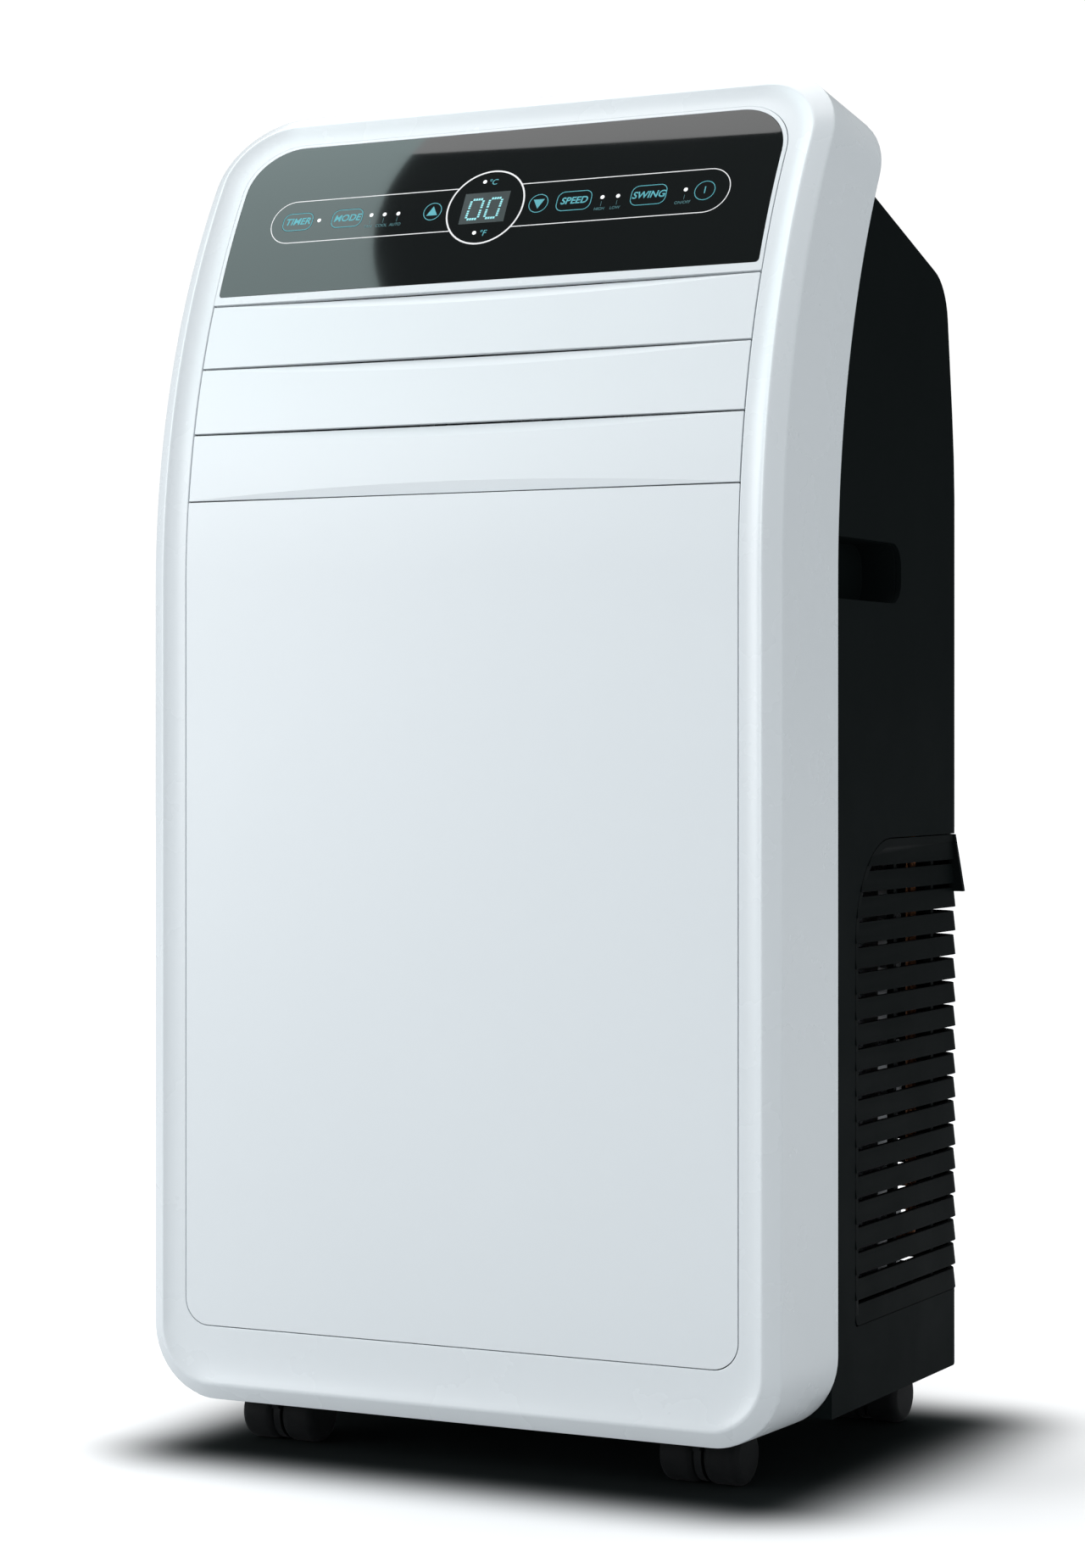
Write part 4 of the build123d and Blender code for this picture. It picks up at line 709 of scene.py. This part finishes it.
def lens_loop(grow):
    """Outline of the display lens, or of its seat when grown."""
    low, top = LENS_LOW - grow, LENS_TOP + grow
    return rounded_loop(LENS_HALF + grow, low, top, 2 * MM + grow, 30 * MM + grow, steps=16)


def build_surround():
    high = OPENING_TOP - SURROUND_GAP
    corner = OPENING_TOP_RADIUS - SURROUND_GAP
    outer = rounded_loop(OPENING_HALF - SURROUND_GAP, SURROUND_LOW, high, 0.6 * MM, corner, steps=16)
    inner = lens_loop(LENS_GAP)
    front = FACE_DEPTH - 0.3 * MM
    ring = laid_on_front(
        "display_surround_frame", flat_sheet([outer, inner]), front, FACE_BACK, WHITE_SHELL
    )
    round_edges(ring, 0.45 * MM)
    return settle(ring, "cabinet", "white_abs", "display_surround")


def key_loop(name, grow):
    x, width, height = KEYS[name]
    half, tall = width / 2 + grow, height / 2 + grow
    corner = height / 2 - 0.01 * MM if width == height else KEY_CORNER
    radius = corner + grow
    return rounded_loop(half, KEY_RUN - tall, KEY_RUN + tall, radius, radius, centre=x, steps=8)


def build_lens():
    holes = [key_loop(name, KEY_GAP) for name in KEYS]
    sheet = flat_sheet([lens_loop(0.0)] + holes)
    lens = laid_on_front(
        "display_lens_glass", sheet, LENS_DEPTH, LENS_BACK, LENS_BLACK, spacing=LENS_SPACING
    )
    return settle(lens, "cabinet", "lens_black", "display_lens")


# ---------------------------------------------------------------- printing on the display
PRINT_RISE = 0.00005
PRINT_SINK = 0.00003
DOT_RADIUS = 0.0012
WINDOW_HALF, WINDOW_LOW, WINDOW_TOP, WINDOW_X = 0.0140, 0.2036, 0.2234, -0.0064
DIGIT_LOW, DIGIT_TOP = 0.2058, 0.2198
DIGIT_SPANS = ((-0.0167, -0.0078), (-0.0052, 0.0037))
DIGIT_SLANT = 0.10
DASH_THICKNESS = 0.00135
DASH_GAP = 0.00035
UNITS = {"°C": (-0.0052, 0.2300), "°F": (-0.0038, 0.1968)}
UNIT_DOTS = [(-0.0104, 0.2308), (-0.0090, 0.1975)]
CAPTIONS = {
    "FAN": -0.0782,
    "COOL": -0.0697,
    "AUTO": -0.0609,
    "HIGH": 0.0658,
    "LOW": 0.0752,
    "ON/OFF": 0.1153,
}
DOT_RISES = (0.8, 0.6, 0.4, 0.8, 0.8, 1.5)      # millimetres of each captioned dot above the key line
TIMER_DOT_X = -0.1120


def stroke_loops(points, width, closed=False):
    """Outline loops of a line of that width along the points."""
    path = [Vector((x, y)) for x, y in points]
    sides = ([], [])
    for i, point in enumerate(path):
        before = path[i - 1] if (i or closed) else point
        after = path[(i + 1) % len(path)] if (closed or i + 1 < len(path)) else point
        ahead = (point - before).normalized() + (after - point).normalized()
        ahead.normalize()
        normal = Vector((-ahead.y, ahead.x))
        sides[0].append(tuple(point + normal * width / 2))
        sides[1].append(tuple(point - normal * width / 2))
    if closed:
        return [sides[1], sides[0]]
    return [sides[1] + sides[0][::-1]]


def merged(sheets):
    """One bmesh from several, which are freed."""
    whole = bmesh.new()
    for sheet in sheets:
        holder = bpy.data.meshes.new("merge_holder")
        sheet.to_mesh(holder)
        sheet.free()
        whole.from_mesh(holder)
        bpy.data.meshes.remove(holder)
    return whole


def lettering(text, x, run, size, bold=0.0, slant=0.15):
    """Flat outline of generic key lettering, centred at (x, run)."""
    curve = bpy.data.curves.new("lettering", "FONT")
    curve.body = text
    curve.size = size
    curve.align_x = "CENTER"
    curve.align_y = "CENTER"
    curve.offset = bold
    curve.shear = slant
    curve.resolution_u = 4
    holder = bpy.data.objects.new("lettering", curve)
    bpy.context.scene.collection.objects.link(holder)
    bpy.context.view_layer.update()
    mesh = bpy.data.meshes.new_from_object(holder.evaluated_get(bpy.context.evaluated_depsgraph_get()))
    sheet = bmesh.new()
    sheet.from_mesh(mesh)
    bmesh.ops.remove_doubles(sheet, verts=sheet.verts, dist=1e-6)
    for vertex in sheet.verts:
        vertex.co = (vertex.co.x + x, vertex.co.y + run, 0)
    bmesh.ops.triangulate(sheet, faces=sheet.faces)
    for face in sheet.faces:
        face.normal_update()
        if face.normal.z < 0:
            face.normal_flip()
    bpy.data.objects.remove(holder)
    bpy.data.curves.remove(curve)
    bpy.data.meshes.remove(mesh)
    return sheet


def disc_loop(x, run, radius, steps=20):
    turns = [2 * math.pi * i / steps for i in range(steps)]
    return [(x + radius * math.cos(turn), run + radius * math.sin(turn)) for turn in turns]


def printed(name, sheets, material, body="cabinet", slot="lens_black"):
    """Flat sheets as one thin print on the lens."""
    front, back = LENS_DEPTH - PRINT_RISE, LENS_DEPTH + PRINT_SINK
    made = laid_on_front(name, merged(sheets), front, back, material, spacing=LENS_SPACING)
    return settle(made, body, slot)


RING_X, RING_RUN, RING_RADIUS = -0.0060, 0.2140, 0.0235
PILL_LEFT, PILL_RIGHT, PILL_HALF = -0.1432, 0.1414, 0.01375


def pill_half(side):
    """Open line from the ring, round one end of the long outline and back to the ring."""
    reach = math.sqrt(RING_RADIUS**2 - (KEY_RUN + PILL_HALF - RING_RUN) ** 2)
    lower_reach = math.sqrt(RING_RADIUS**2 - (RING_RUN - KEY_RUN + PILL_HALF) ** 2)
    radius = PILL_HALF
    if side > 0:
        centre = PILL_RIGHT - radius
        bend = arc_corner(centre, KEY_RUN, radius, math.pi / 2, -math.pi / 2, 24)
        return [(RING_X + reach, KEY_RUN + radius)] + bend + [(RING_X + lower_reach, KEY_RUN - radius)]
    centre = PILL_LEFT + radius
    bend = arc_corner(centre, KEY_RUN, radius, math.pi / 2, 1.5 * math.pi, 24)
    return [(RING_X - reach, KEY_RUN + radius)] + bend + [(RING_X - lower_reach, KEY_RUN - radius)]


def digit_cells(left, right, low, high):
    """Rectangles of a lit zero made of short dashes."""
    thick = DASH_THICKNESS
    half_gap = DASH_GAP / 2
    cells = []
    across, upright = 4, 4
    for row_low in (low, high - thick):
        step = (right - left - 2 * thick) / across
        for i in range(across):
            start = left + thick + i * step
            cells.append((start + half_gap, row_low, start + step - half_gap, row_low + thick))
    middle = (low + high) / 2
    for column in (left, right - thick):
        for half_low, half_high in ((low + thick, middle - DASH_GAP), (middle + DASH_GAP, high - thick)):
            step = (half_high - half_low) / upright
            for i in range(upright):
                start = half_low + i * step
                cells.append((column, start + half_gap, column + thick, start + step - half_gap))
    return cells


def cell_loop(cell, slant, base):
    x0, y0, x1, y1 = cell
    return [(x + slant * (y - base), y) for x, y in ((x0, y0), (x1, y0), (x1, y1), (x0, y1))]


def build_window():
    window = rounded_loop(WINDOW_HALF, WINDOW_LOW, WINDOW_TOP, 0.2 * MM, 0.2 * MM, centre=WINDOW_X)
    front, back = LENS_DEPTH - 0.02 * MM, LENS_DEPTH + PRINT_SINK
    made = laid_on_front(
        "display_window", flat_sheet([window]), front, back, WINDOW_GREY, spacing=LENS_SPACING
    )
    settle(made, "cabinet", "lens_black")


def build_print():
    ring_path = disc_loop(RING_X, RING_RUN, RING_RADIUS, 72)
    ring = flat_sheet(stroke_loops(ring_path, 0.95 * MM, closed=True))
    halves = [flat_sheet(stroke_loops(pill_half(side), 0.5 * MM)) for side in (-1, 1)]
    printed("display_outline", [ring] + halves, PRINT_WHITE)
    build_window()
    cells = []
    for left, right in DIGIT_SPANS:
        cells += digit_cells(left, right, DIGIT_LOW, DIGIT_TOP)
    middle = (DIGIT_LOW + DIGIT_TOP) / 2
    digits = [flat_sheet([cell_loop(cell, DIGIT_SLANT, middle)]) for cell in cells]
    printed("display_digits", digits, DIGIT_GLOW)
    raised = [(x, KEY_RUN + rise * MM) for x, rise in zip(CAPTIONS.values(), DOT_RISES)]
    dots = [(TIMER_DOT_X, KEY_RUN)] + raised + UNIT_DOTS
    sheets = [flat_sheet([disc_loop(x, run, DOT_RADIUS)]) for x, run in dots]
    printed("indicator_dots", sheets, INDICATOR)
    units = [lettering(text, x, run, 5.2 * MM) for text, (x, run) in UNITS.items()]
    printed("unit_marks", units, PRINT_CYAN)
    ticks = []
    captions = []
    low, high, corner = KEY_RUN - 4.8 * MM, KEY_RUN - 1.8 * MM, 0.03 * MM
    for text, x in CAPTIONS.items():
        ticks.append(flat_sheet([rounded_loop(0.10 * MM, low, high, corner, corner, x)]))
        captions.append(lettering(text, x - 0.6 * MM, KEY_RUN - 6.6 * MM, 2.6 * MM))
    printed("indicator_captions", ticks + captions, PRINT_DIM)


KEY_WORDS = {"timer": "TIMER", "mode": "MODE", "speed": "SPEED", "swing": "SWING"}


def key_sign(name, x):
    """Sheet with the mark inside a key's outline: a word, a bar or a triangle."""
    if name in KEY_WORDS:
        return lettering(KEY_WORDS[name], x, KEY_RUN, 6.0 * MM, bold=0.12 * MM, slant=0.2)
    if name == "power":
        low, high, corner = KEY_RUN - 1.8 * MM, KEY_RUN + 2.6 * MM, 0.3 * MM
        return flat_sheet([rounded_loop(0.32 * MM, low, high, corner, corner, x)])
    sense = 1 if name == "up" else -1
    reach = 3.4 * MM
    foot = KEY_RUN - 0.75 * reach * sense
    corners = [(x - reach, foot), (x + reach, foot), (x, KEY_RUN + reach * sense)]
    return flat_sheet([corners[::sense]])


def build_key(name):
    """Key cap in the lens with its printed outline and mark."""
    body = "key_" + name
    sheet = flat_sheet([key_loop(name, 0.0)])
    back = LENS_BACK + 1.2 * MM
    cap = laid_on_front("key_cap_" + name, sheet, LENS_DEPTH, back, KEY_BLACK, spacing=0.003)
    settle(cap, body, "key_black", body)
    line_outer, line_width = -0.05 * MM, 0.42 * MM
    line = flat_sheet([key_loop(name, line_outer), key_loop(name, line_outer - line_width)])
    sign = key_sign(name, KEYS[name][0])
    printed("key_mark_" + name, [line, sign], PRINT_CYAN, body, "key_black")


# ---------------------------------------------------------------- louver blades
LOUVERS = ("bottom", "middle", "top")
BLADE_COLUMNS = 64
CRESCENT_ROWS = 4
FLAT_ROWS = 8


def crescent(x):
    """Height of the scooped edge at x: deepest in the middle, nothing at the ends."""
    radius = (BLADE_HALF_LENGTH**2 + SCOOP_HEIGHT**2) / (2 * SCOOP_HEIGHT)
    return max(SCOOP_HEIGHT - (radius - math.sqrt(radius**2 - x**2)), 0.0)


def blade_section(x, low, high, scoop_low):
    """Closed section of a blade at x as (run, depth) pairs."""
    rise = crescent(x)
    hollow = SCOOP_DEPTH * rise / SCOOP_HEIGHT
    section = []
    if scoop_low:
        for i in range(CRESCENT_ROWS):
            share = i / CRESCENT_ROWS
            section.append((low + rise * share, FACE_DEPTH + hollow * (1 - share)))
    start = low + rise if scoop_low else low
    for i in range(FLAT_ROWS + 1):
        section.append((start + (high - rise - start) * i / FLAT_ROWS, FACE_DEPTH))
    for i in range(1, CRESCENT_ROWS + 1):
        share = i / CRESCENT_ROWS
        section.append((high - rise + rise * share, FACE_DEPTH + hollow * share))
    back = FACE_DEPTH + BLADE_THICKNESS
    for i in range(FLAT_ROWS + 1):
        section.append((high + (low - high) * i / FLAT_ROWS, back))
    return section


def pivot_parts(name):
    """Pivots and crank of a blade, cut from its CAD node beyond the blade's ends, as one mesh."""
    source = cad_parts["louver_blade_" + name].data
    work = bmesh.new()
    work.from_mesh(source)
    bmesh.ops.remove_doubles(work, verts=work.verts, dist=1e-6)
    halves = []
    for part, side in ((work, 1), (work.copy(), -1)):
        geometry = part.verts[:] + part.edges[:] + part.faces[:]
        cut = (side * (BLADE_HALF_LENGTH + 0.05 * MM), 0, 0)
        made = bmesh.ops.bisect_plane(
            part, geom=geometry, plane_co=cut, plane_no=(side, 0, 0), clear_inner=True
        )
        rim = [e for e in made["geom_cut"] if isinstance(e, bmesh.types.BMEdge)]
        bmesh.ops.contextual_create(part, geom=rim)
        halves.append(part)
    return merged(halves)


def build_blade(index, name):
    middle = LOUVER_START + LOUVER_PITCH * (index + 0.5)
    low, high = middle - BLADE_HALF_HEIGHT, middle + BLADE_HALF_HEIGHT
    points = []
    for column in range(BLADE_COLUMNS + 1):
        x = BLADE_HALF_LENGTH * (2 * column / BLADE_COLUMNS - 1)
        section = blade_section(x, low, high, index == 0)
        points += [on_front(x, run, depth) for run, depth in section]
    around = len(section)
    faces = []
    for column in range(BLADE_COLUMNS):
        for i in range(around):
            j = (i + 1) % around
            a, b = column * around, (column + 1) * around
            faces.append((a + i, b + i, b + j, a + j))
    faces.append(tuple(range(around)))
    faces.append(tuple(reversed(range(BLADE_COLUMNS * around, (BLADE_COLUMNS + 1) * around))))
    blade = new_object("louver_face_" + name, points, faces, WHITE_FACE)
    tidy_mesh(blade, angle=14, merge=2e-5)
    round_edges(blade, 0.35 * MM, angle=50)
    settle(blade, "louver_" + name, "white_abs", "louver_blade_" + name)
    ends = pivot_parts(name)
    pivots = new_object("louver_pivots_" + name, [], [], GREY_INNER)
    ends.to_mesh(pivots.data)
    ends.free()
    tidy_mesh(pivots, angle=30)
    settle(pivots, "louver_" + name, "grey_pp")


# ---------------------------------------------------------------- pieces refined from the CAD
def refined(node_name, name, material, body, slot, width=0.4 * MM, angle=30.0):
    """A welded copy of a CAD node with rounded edges, which stands for it."""
    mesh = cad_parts[node_name].data.copy()
    mesh.name = name
    work = bmesh.new()
    work.from_mesh(mesh)
    bmesh.ops.remove_doubles(work, verts=work.verts, dist=2e-6)
    bmesh.ops.dissolve_degenerate(work, edges=work.edges, dist=1e-6)
    bmesh.ops.dissolve_limit(work, angle_limit=math.radians(0.4), verts=work.verts, edges=work.edges)
    work.to_mesh(mesh)
    work.free()
    mesh.materials.clear()
    mesh.materials.append(material)
    for polygon in mesh.polygons:
        polygon.material_index = 0
    mesh.shade_smooth()
    mesh.set_sharp_from_angle(angle=math.radians(angle))
    made = bpy.data.objects.new(name, mesh)
    bpy.context.scene.collection.objects.link(made)
    if width:
        round_edges(made, width, angle=angle)
    return settle(made, body, slot, node_name)


def build_body():
    refined("rear_casing", "casing_shell", BLACK_SHELL, "cabinet", "black_abs", 0.5 * MM)
    refined("rear_grille", "intake_cover", BLACK_GRILLE, "rear_cover", "black_abs", 0.35 * MM)
    refined("upper_intake_grille", "upper_cover_face", BLACK_SHELL, "upper_cover", "black_abs", 0.4 * MM)
    refined("exhaust_collar", "exhaust_ring", BLACK_SHELL, "cabinet", "black_abs", 0.5 * MM)
    refined("cord_gland", "cord_bush", RUBBER_BLACK, "cabinet", "rubber_black", 0.4 * MM)
    for side in ("left", "right"):
        refined("handle_cup_" + side, "hand_recess_" + side, BLACK_SHELL, "cabinet", "black_abs", 0.5 * MM)
    for place in ("lower", "upper"):
        cap = "drain_cap_" + place
        refined(cap, "drain_plug_" + place, RUBBER_BLACK, cap, "rubber_black", 0.6 * MM)
    for place in ("front_left", "front_right", "rear_left", "rear_right"):
        body = "caster_" + place
        refined(body + "_housing", body + "_fork", CASTER_BLACK, body, "caster_black", 0.3 * MM)
        for side in ("left", "right"):
            wheel = body + "_wheel_" + side
            refined(wheel, wheel + "_tread", TREAD_BLACK, wheel, "caster_black", 0.0)


NODE_FINISHES = {
    "control_board": BOARD_GREEN,
    "louver_link": GREY_INNER,
    "swing_motor": GALVANISED,
    "outlet_duct": GREY_INNER,
    "condenser_filter": FILTER_MESH,
    "evaporator_filter": FILTER_MESH,
    "casing_screws": SCREW_STEEL,
    "base_pan": GALVANISED,
    "compressor_mounts": RUBBER_BLACK,
    "compressor": STEEL_BLACK,
    "condenser_coil": COIL_ALUMINIUM,
    "evaporator_coil": COIL_ALUMINIUM,
    "drip_tray": GREY_INNER,
    "discharge_pipe": PIPE_COPPER,
    "suction_pipe": PIPE_COPPER,
    "liquid_line": PIPE_COPPER,
    "cond_fan_housing": GREY_INNER,
    "cond_fan_motor": STEEL_BLACK,
    "cond_fan_wheel": GREY_INNER,
    "evap_fan_housing": GREY_INNER,
    "evap_fan_wheel": GREY_INNER,
    "evap_fan_motor": STEEL_BLACK,
    "control_box": GALVANISED,
    "run_capacitor": COIL_ALUMINIUM,
}


def dress_nodes():
    for name, material in NODE_FINISHES.items():
        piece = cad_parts[name]
        piece.data.materials.clear()
        piece.data.materials.append(material)


build_bezel()
build_panel()
build_surround()
build_lens()
build_print()
for key_name in KEYS:
    build_key(key_name)
for louver_index, louver_name in enumerate(LOUVERS):
    build_blade(louver_index, louver_name)
build_body()
dress_nodes()


# ---------------------------------------------------------------- floor, light and camera
# Place, size and reach of the shadow painted on the floor round the unit.
SHADOW_CENTRE = (0.012, -0.012, 0.0)
SHADOW_HALF = (0.160, 0.125, 1.0)
SHADOW_REACH = 0.115
FLOOR_REACH = 14.0
SUBJECT = (0, 0, 0.4)


def floor_material():
    """White floor with a painted shadow, a soft dark patch close round the unit; the floor bounces back
    less light than it shows.
    """
    made = bpy.data.materials.new("studio_white")
    made.use_nodes = True
    tree = made.node_tree
    link = tree.links.new
    bsdf = tree.nodes["Principled BSDF"]
    bsdf.inputs["Roughness"].default_value = 0.9
    bsdf.inputs["Specular IOR Level"].default_value = 0.0
    place = node(tree, "ShaderNodeTexCoord")
    centre = node(tree, "ShaderNodeVectorMath", operation="SUBTRACT")
    centre.inputs[1].default_value = SHADOW_CENTRE
    mirrored = node(tree, "ShaderNodeVectorMath", operation="ABSOLUTE")
    outside = node(tree, "ShaderNodeVectorMath", operation="SUBTRACT")
    outside.inputs[1].default_value = SHADOW_HALF
    clipped = node(tree, "ShaderNodeVectorMath", operation="MAXIMUM")
    clipped.inputs[1].default_value = (0, 0, 0)
    distance = node(tree, "ShaderNodeVectorMath", operation="LENGTH")
    fade = node(tree, "ShaderNodeMapRange", interpolation_type="SMOOTHERSTEP")
    fade.inputs["From Max"].default_value = SHADOW_REACH
    # Painted shadow: near black close to the unit, fading to white further out.
    shade = node(tree, "ShaderNodeMix", data_type="RGBA")
    shade.inputs[6].default_value = (0.015, 0.018, 0.018, 1)
    shade.inputs[7].default_value = (0.97, 0.97, 0.97, 1)
    path = node(tree, "ShaderNodeLightPath")
    bounce = node(tree, "ShaderNodeMix", data_type="RGBA")
    bounce.inputs[6].default_value = (0.46, 0.47, 0.48, 1)
    link(place.outputs["Object"], centre.inputs[0])
    link(centre.outputs[0], mirrored.inputs[0])
    link(mirrored.outputs[0], outside.inputs[0])
    link(outside.outputs[0], clipped.inputs[0])
    link(clipped.outputs[0], distance.inputs[0])
    link(distance.outputs["Value"], fade.inputs["Value"])
    link(fade.outputs["Result"], shade.inputs[0])
    link(path.outputs["Is Camera Ray"], bounce.inputs[0])
    link(shade.outputs[2], bounce.inputs[7])
    link(bounce.outputs[2], bsdf.inputs["Base Color"])
    return made


def build_floor():
    turns = ((-1, -1), (1, -1), (1, 1), (-1, 1))
    corners = [(FLOOR_REACH * x, FLOOR_REACH * y, 0) for x, y in turns]
    floor = new_object("studio_floor", corners, [(0, 1, 2, 3)], floor_material())


def build_lens_card():
    """Bright card over the left of the unit, seen only in glossy reflections."""
    low_right = Vector((-1.083, -1.233, 1.947))
    high_right = Vector((-1.051, -0.486, 2.411))
    along = high_right - low_right
    low_right -= along
    high_right += along
    side = Vector((-1.0, 0.10, -0.30)) * 1.8
    corners = [low_right, high_right, high_right + side, low_right + side]
    card_finish = bpy.data.materials.new("card_light")
    card_finish.use_nodes = True
    tree = card_finish.node_tree
    tree.nodes.clear()
    emission = node(tree, "ShaderNodeEmission", in_Color=(0.80, 1.0, 1.0, 1), in_Strength=3.0)
    out = node(tree, "ShaderNodeOutputMaterial")
    tree.links.new(emission.outputs[0], out.inputs["Surface"])
    card = new_object("lens_card", corners, [(0, 1, 2, 3)], card_finish)
    card.visible_camera = False
    card.visible_diffuse = False
    card.visible_shadow = False
    card.visible_transmission = False


def wide_sun(name, towards, strength, angle):
    """Sun that shines down from that direction, wide enough for soft shadows."""
    lamp = bpy.data.lights.new(name, "SUN")
    lamp.energy = strength
    lamp.angle = math.radians(angle)
    made = bpy.data.objects.new(name, lamp)
    made.rotation_euler = Vector(towards).to_track_quat("Z", "Y").to_euler()
    bpy.context.scene.collection.objects.link(made)


def area_light(name, place, target, width, height, power, colour=(1, 1, 1)):
    lamp = bpy.data.lights.new(name, "AREA")
    lamp.shape = "RECTANGLE"
    lamp.size = width
    lamp.size_y = height
    lamp.energy = power
    lamp.color = colour
    made = bpy.data.objects.new(name, lamp)
    made.location = place
    made.rotation_euler = (Vector(target) - Vector(place)).to_track_quat("-Z", "Y").to_euler()
    bpy.context.scene.collection.objects.link(made)
    return made


def build_world():
    world = bpy.data.worlds.new("studio_air")
    bpy.context.scene.world = world
    world.use_nodes = True
    tree = world.node_tree
    tree.nodes.clear()
    path = node(tree, "ShaderNodeLightPath")
    soft = node(tree, "ShaderNodeBackground", in_Color=(0.93, 0.97, 1.0, 1), in_Strength=0.50)
    dark = node(tree, "ShaderNodeBackground", in_Color=(0.9, 0.97, 1.0, 1), in_Strength=0.10)
    seen = node(tree, "ShaderNodeBackground", in_Color=(1, 1, 1, 1), in_Strength=1.05)
    first = node(tree, "ShaderNodeMixShader")
    second = node(tree, "ShaderNodeMixShader")
    out = node(tree, "ShaderNodeOutputWorld")
    tree.links.new(path.outputs["Is Glossy Ray"], first.inputs[0])
    tree.links.new(soft.outputs[0], first.inputs[1])
    tree.links.new(dark.outputs[0], first.inputs[2])
    tree.links.new(path.outputs["Is Camera Ray"], second.inputs[0])
    tree.links.new(first.outputs[0], second.inputs[1])
    tree.links.new(seen.outputs[0], second.inputs[2])
    tree.links.new(second.outputs[0], out.inputs["Surface"])


def build_camera():
    data = bpy.data.cameras.new("view_camera")
    data.lens = 86.11
    data.sensor_width = 36.0
    data.sensor_fit = "AUTO"
    data.shift_y = -0.0272
    data.clip_start = 0.05
    data.clip_end = 60
    made = bpy.data.objects.new("view_camera", data)
    made.location = (0.9928, -1.8766, 0.3896)
    made.rotation_euler = Euler((math.radians(90), 0, math.radians(28.4628)))
    bpy.context.scene.collection.objects.link(made)
    bpy.context.scene.camera = made


build_floor()
build_world()
build_camera()
build_lens_card()
wide_sun("overhead", (-0.25, 0.30, 1.0), 2.4, 70)
area_light("front_left", (-2.2, -2.2, 1.1), SUBJECT, 1.6, 1.8, 44, (0.96, 0.98, 1.0))
area_light("front_right", (3.0, -1.2, 0.9), SUBJECT, 1.2, 1.6, 10, (0.97, 0.99, 1.0))
bpy.context.scene.view_settings.view_transform = "Standard"
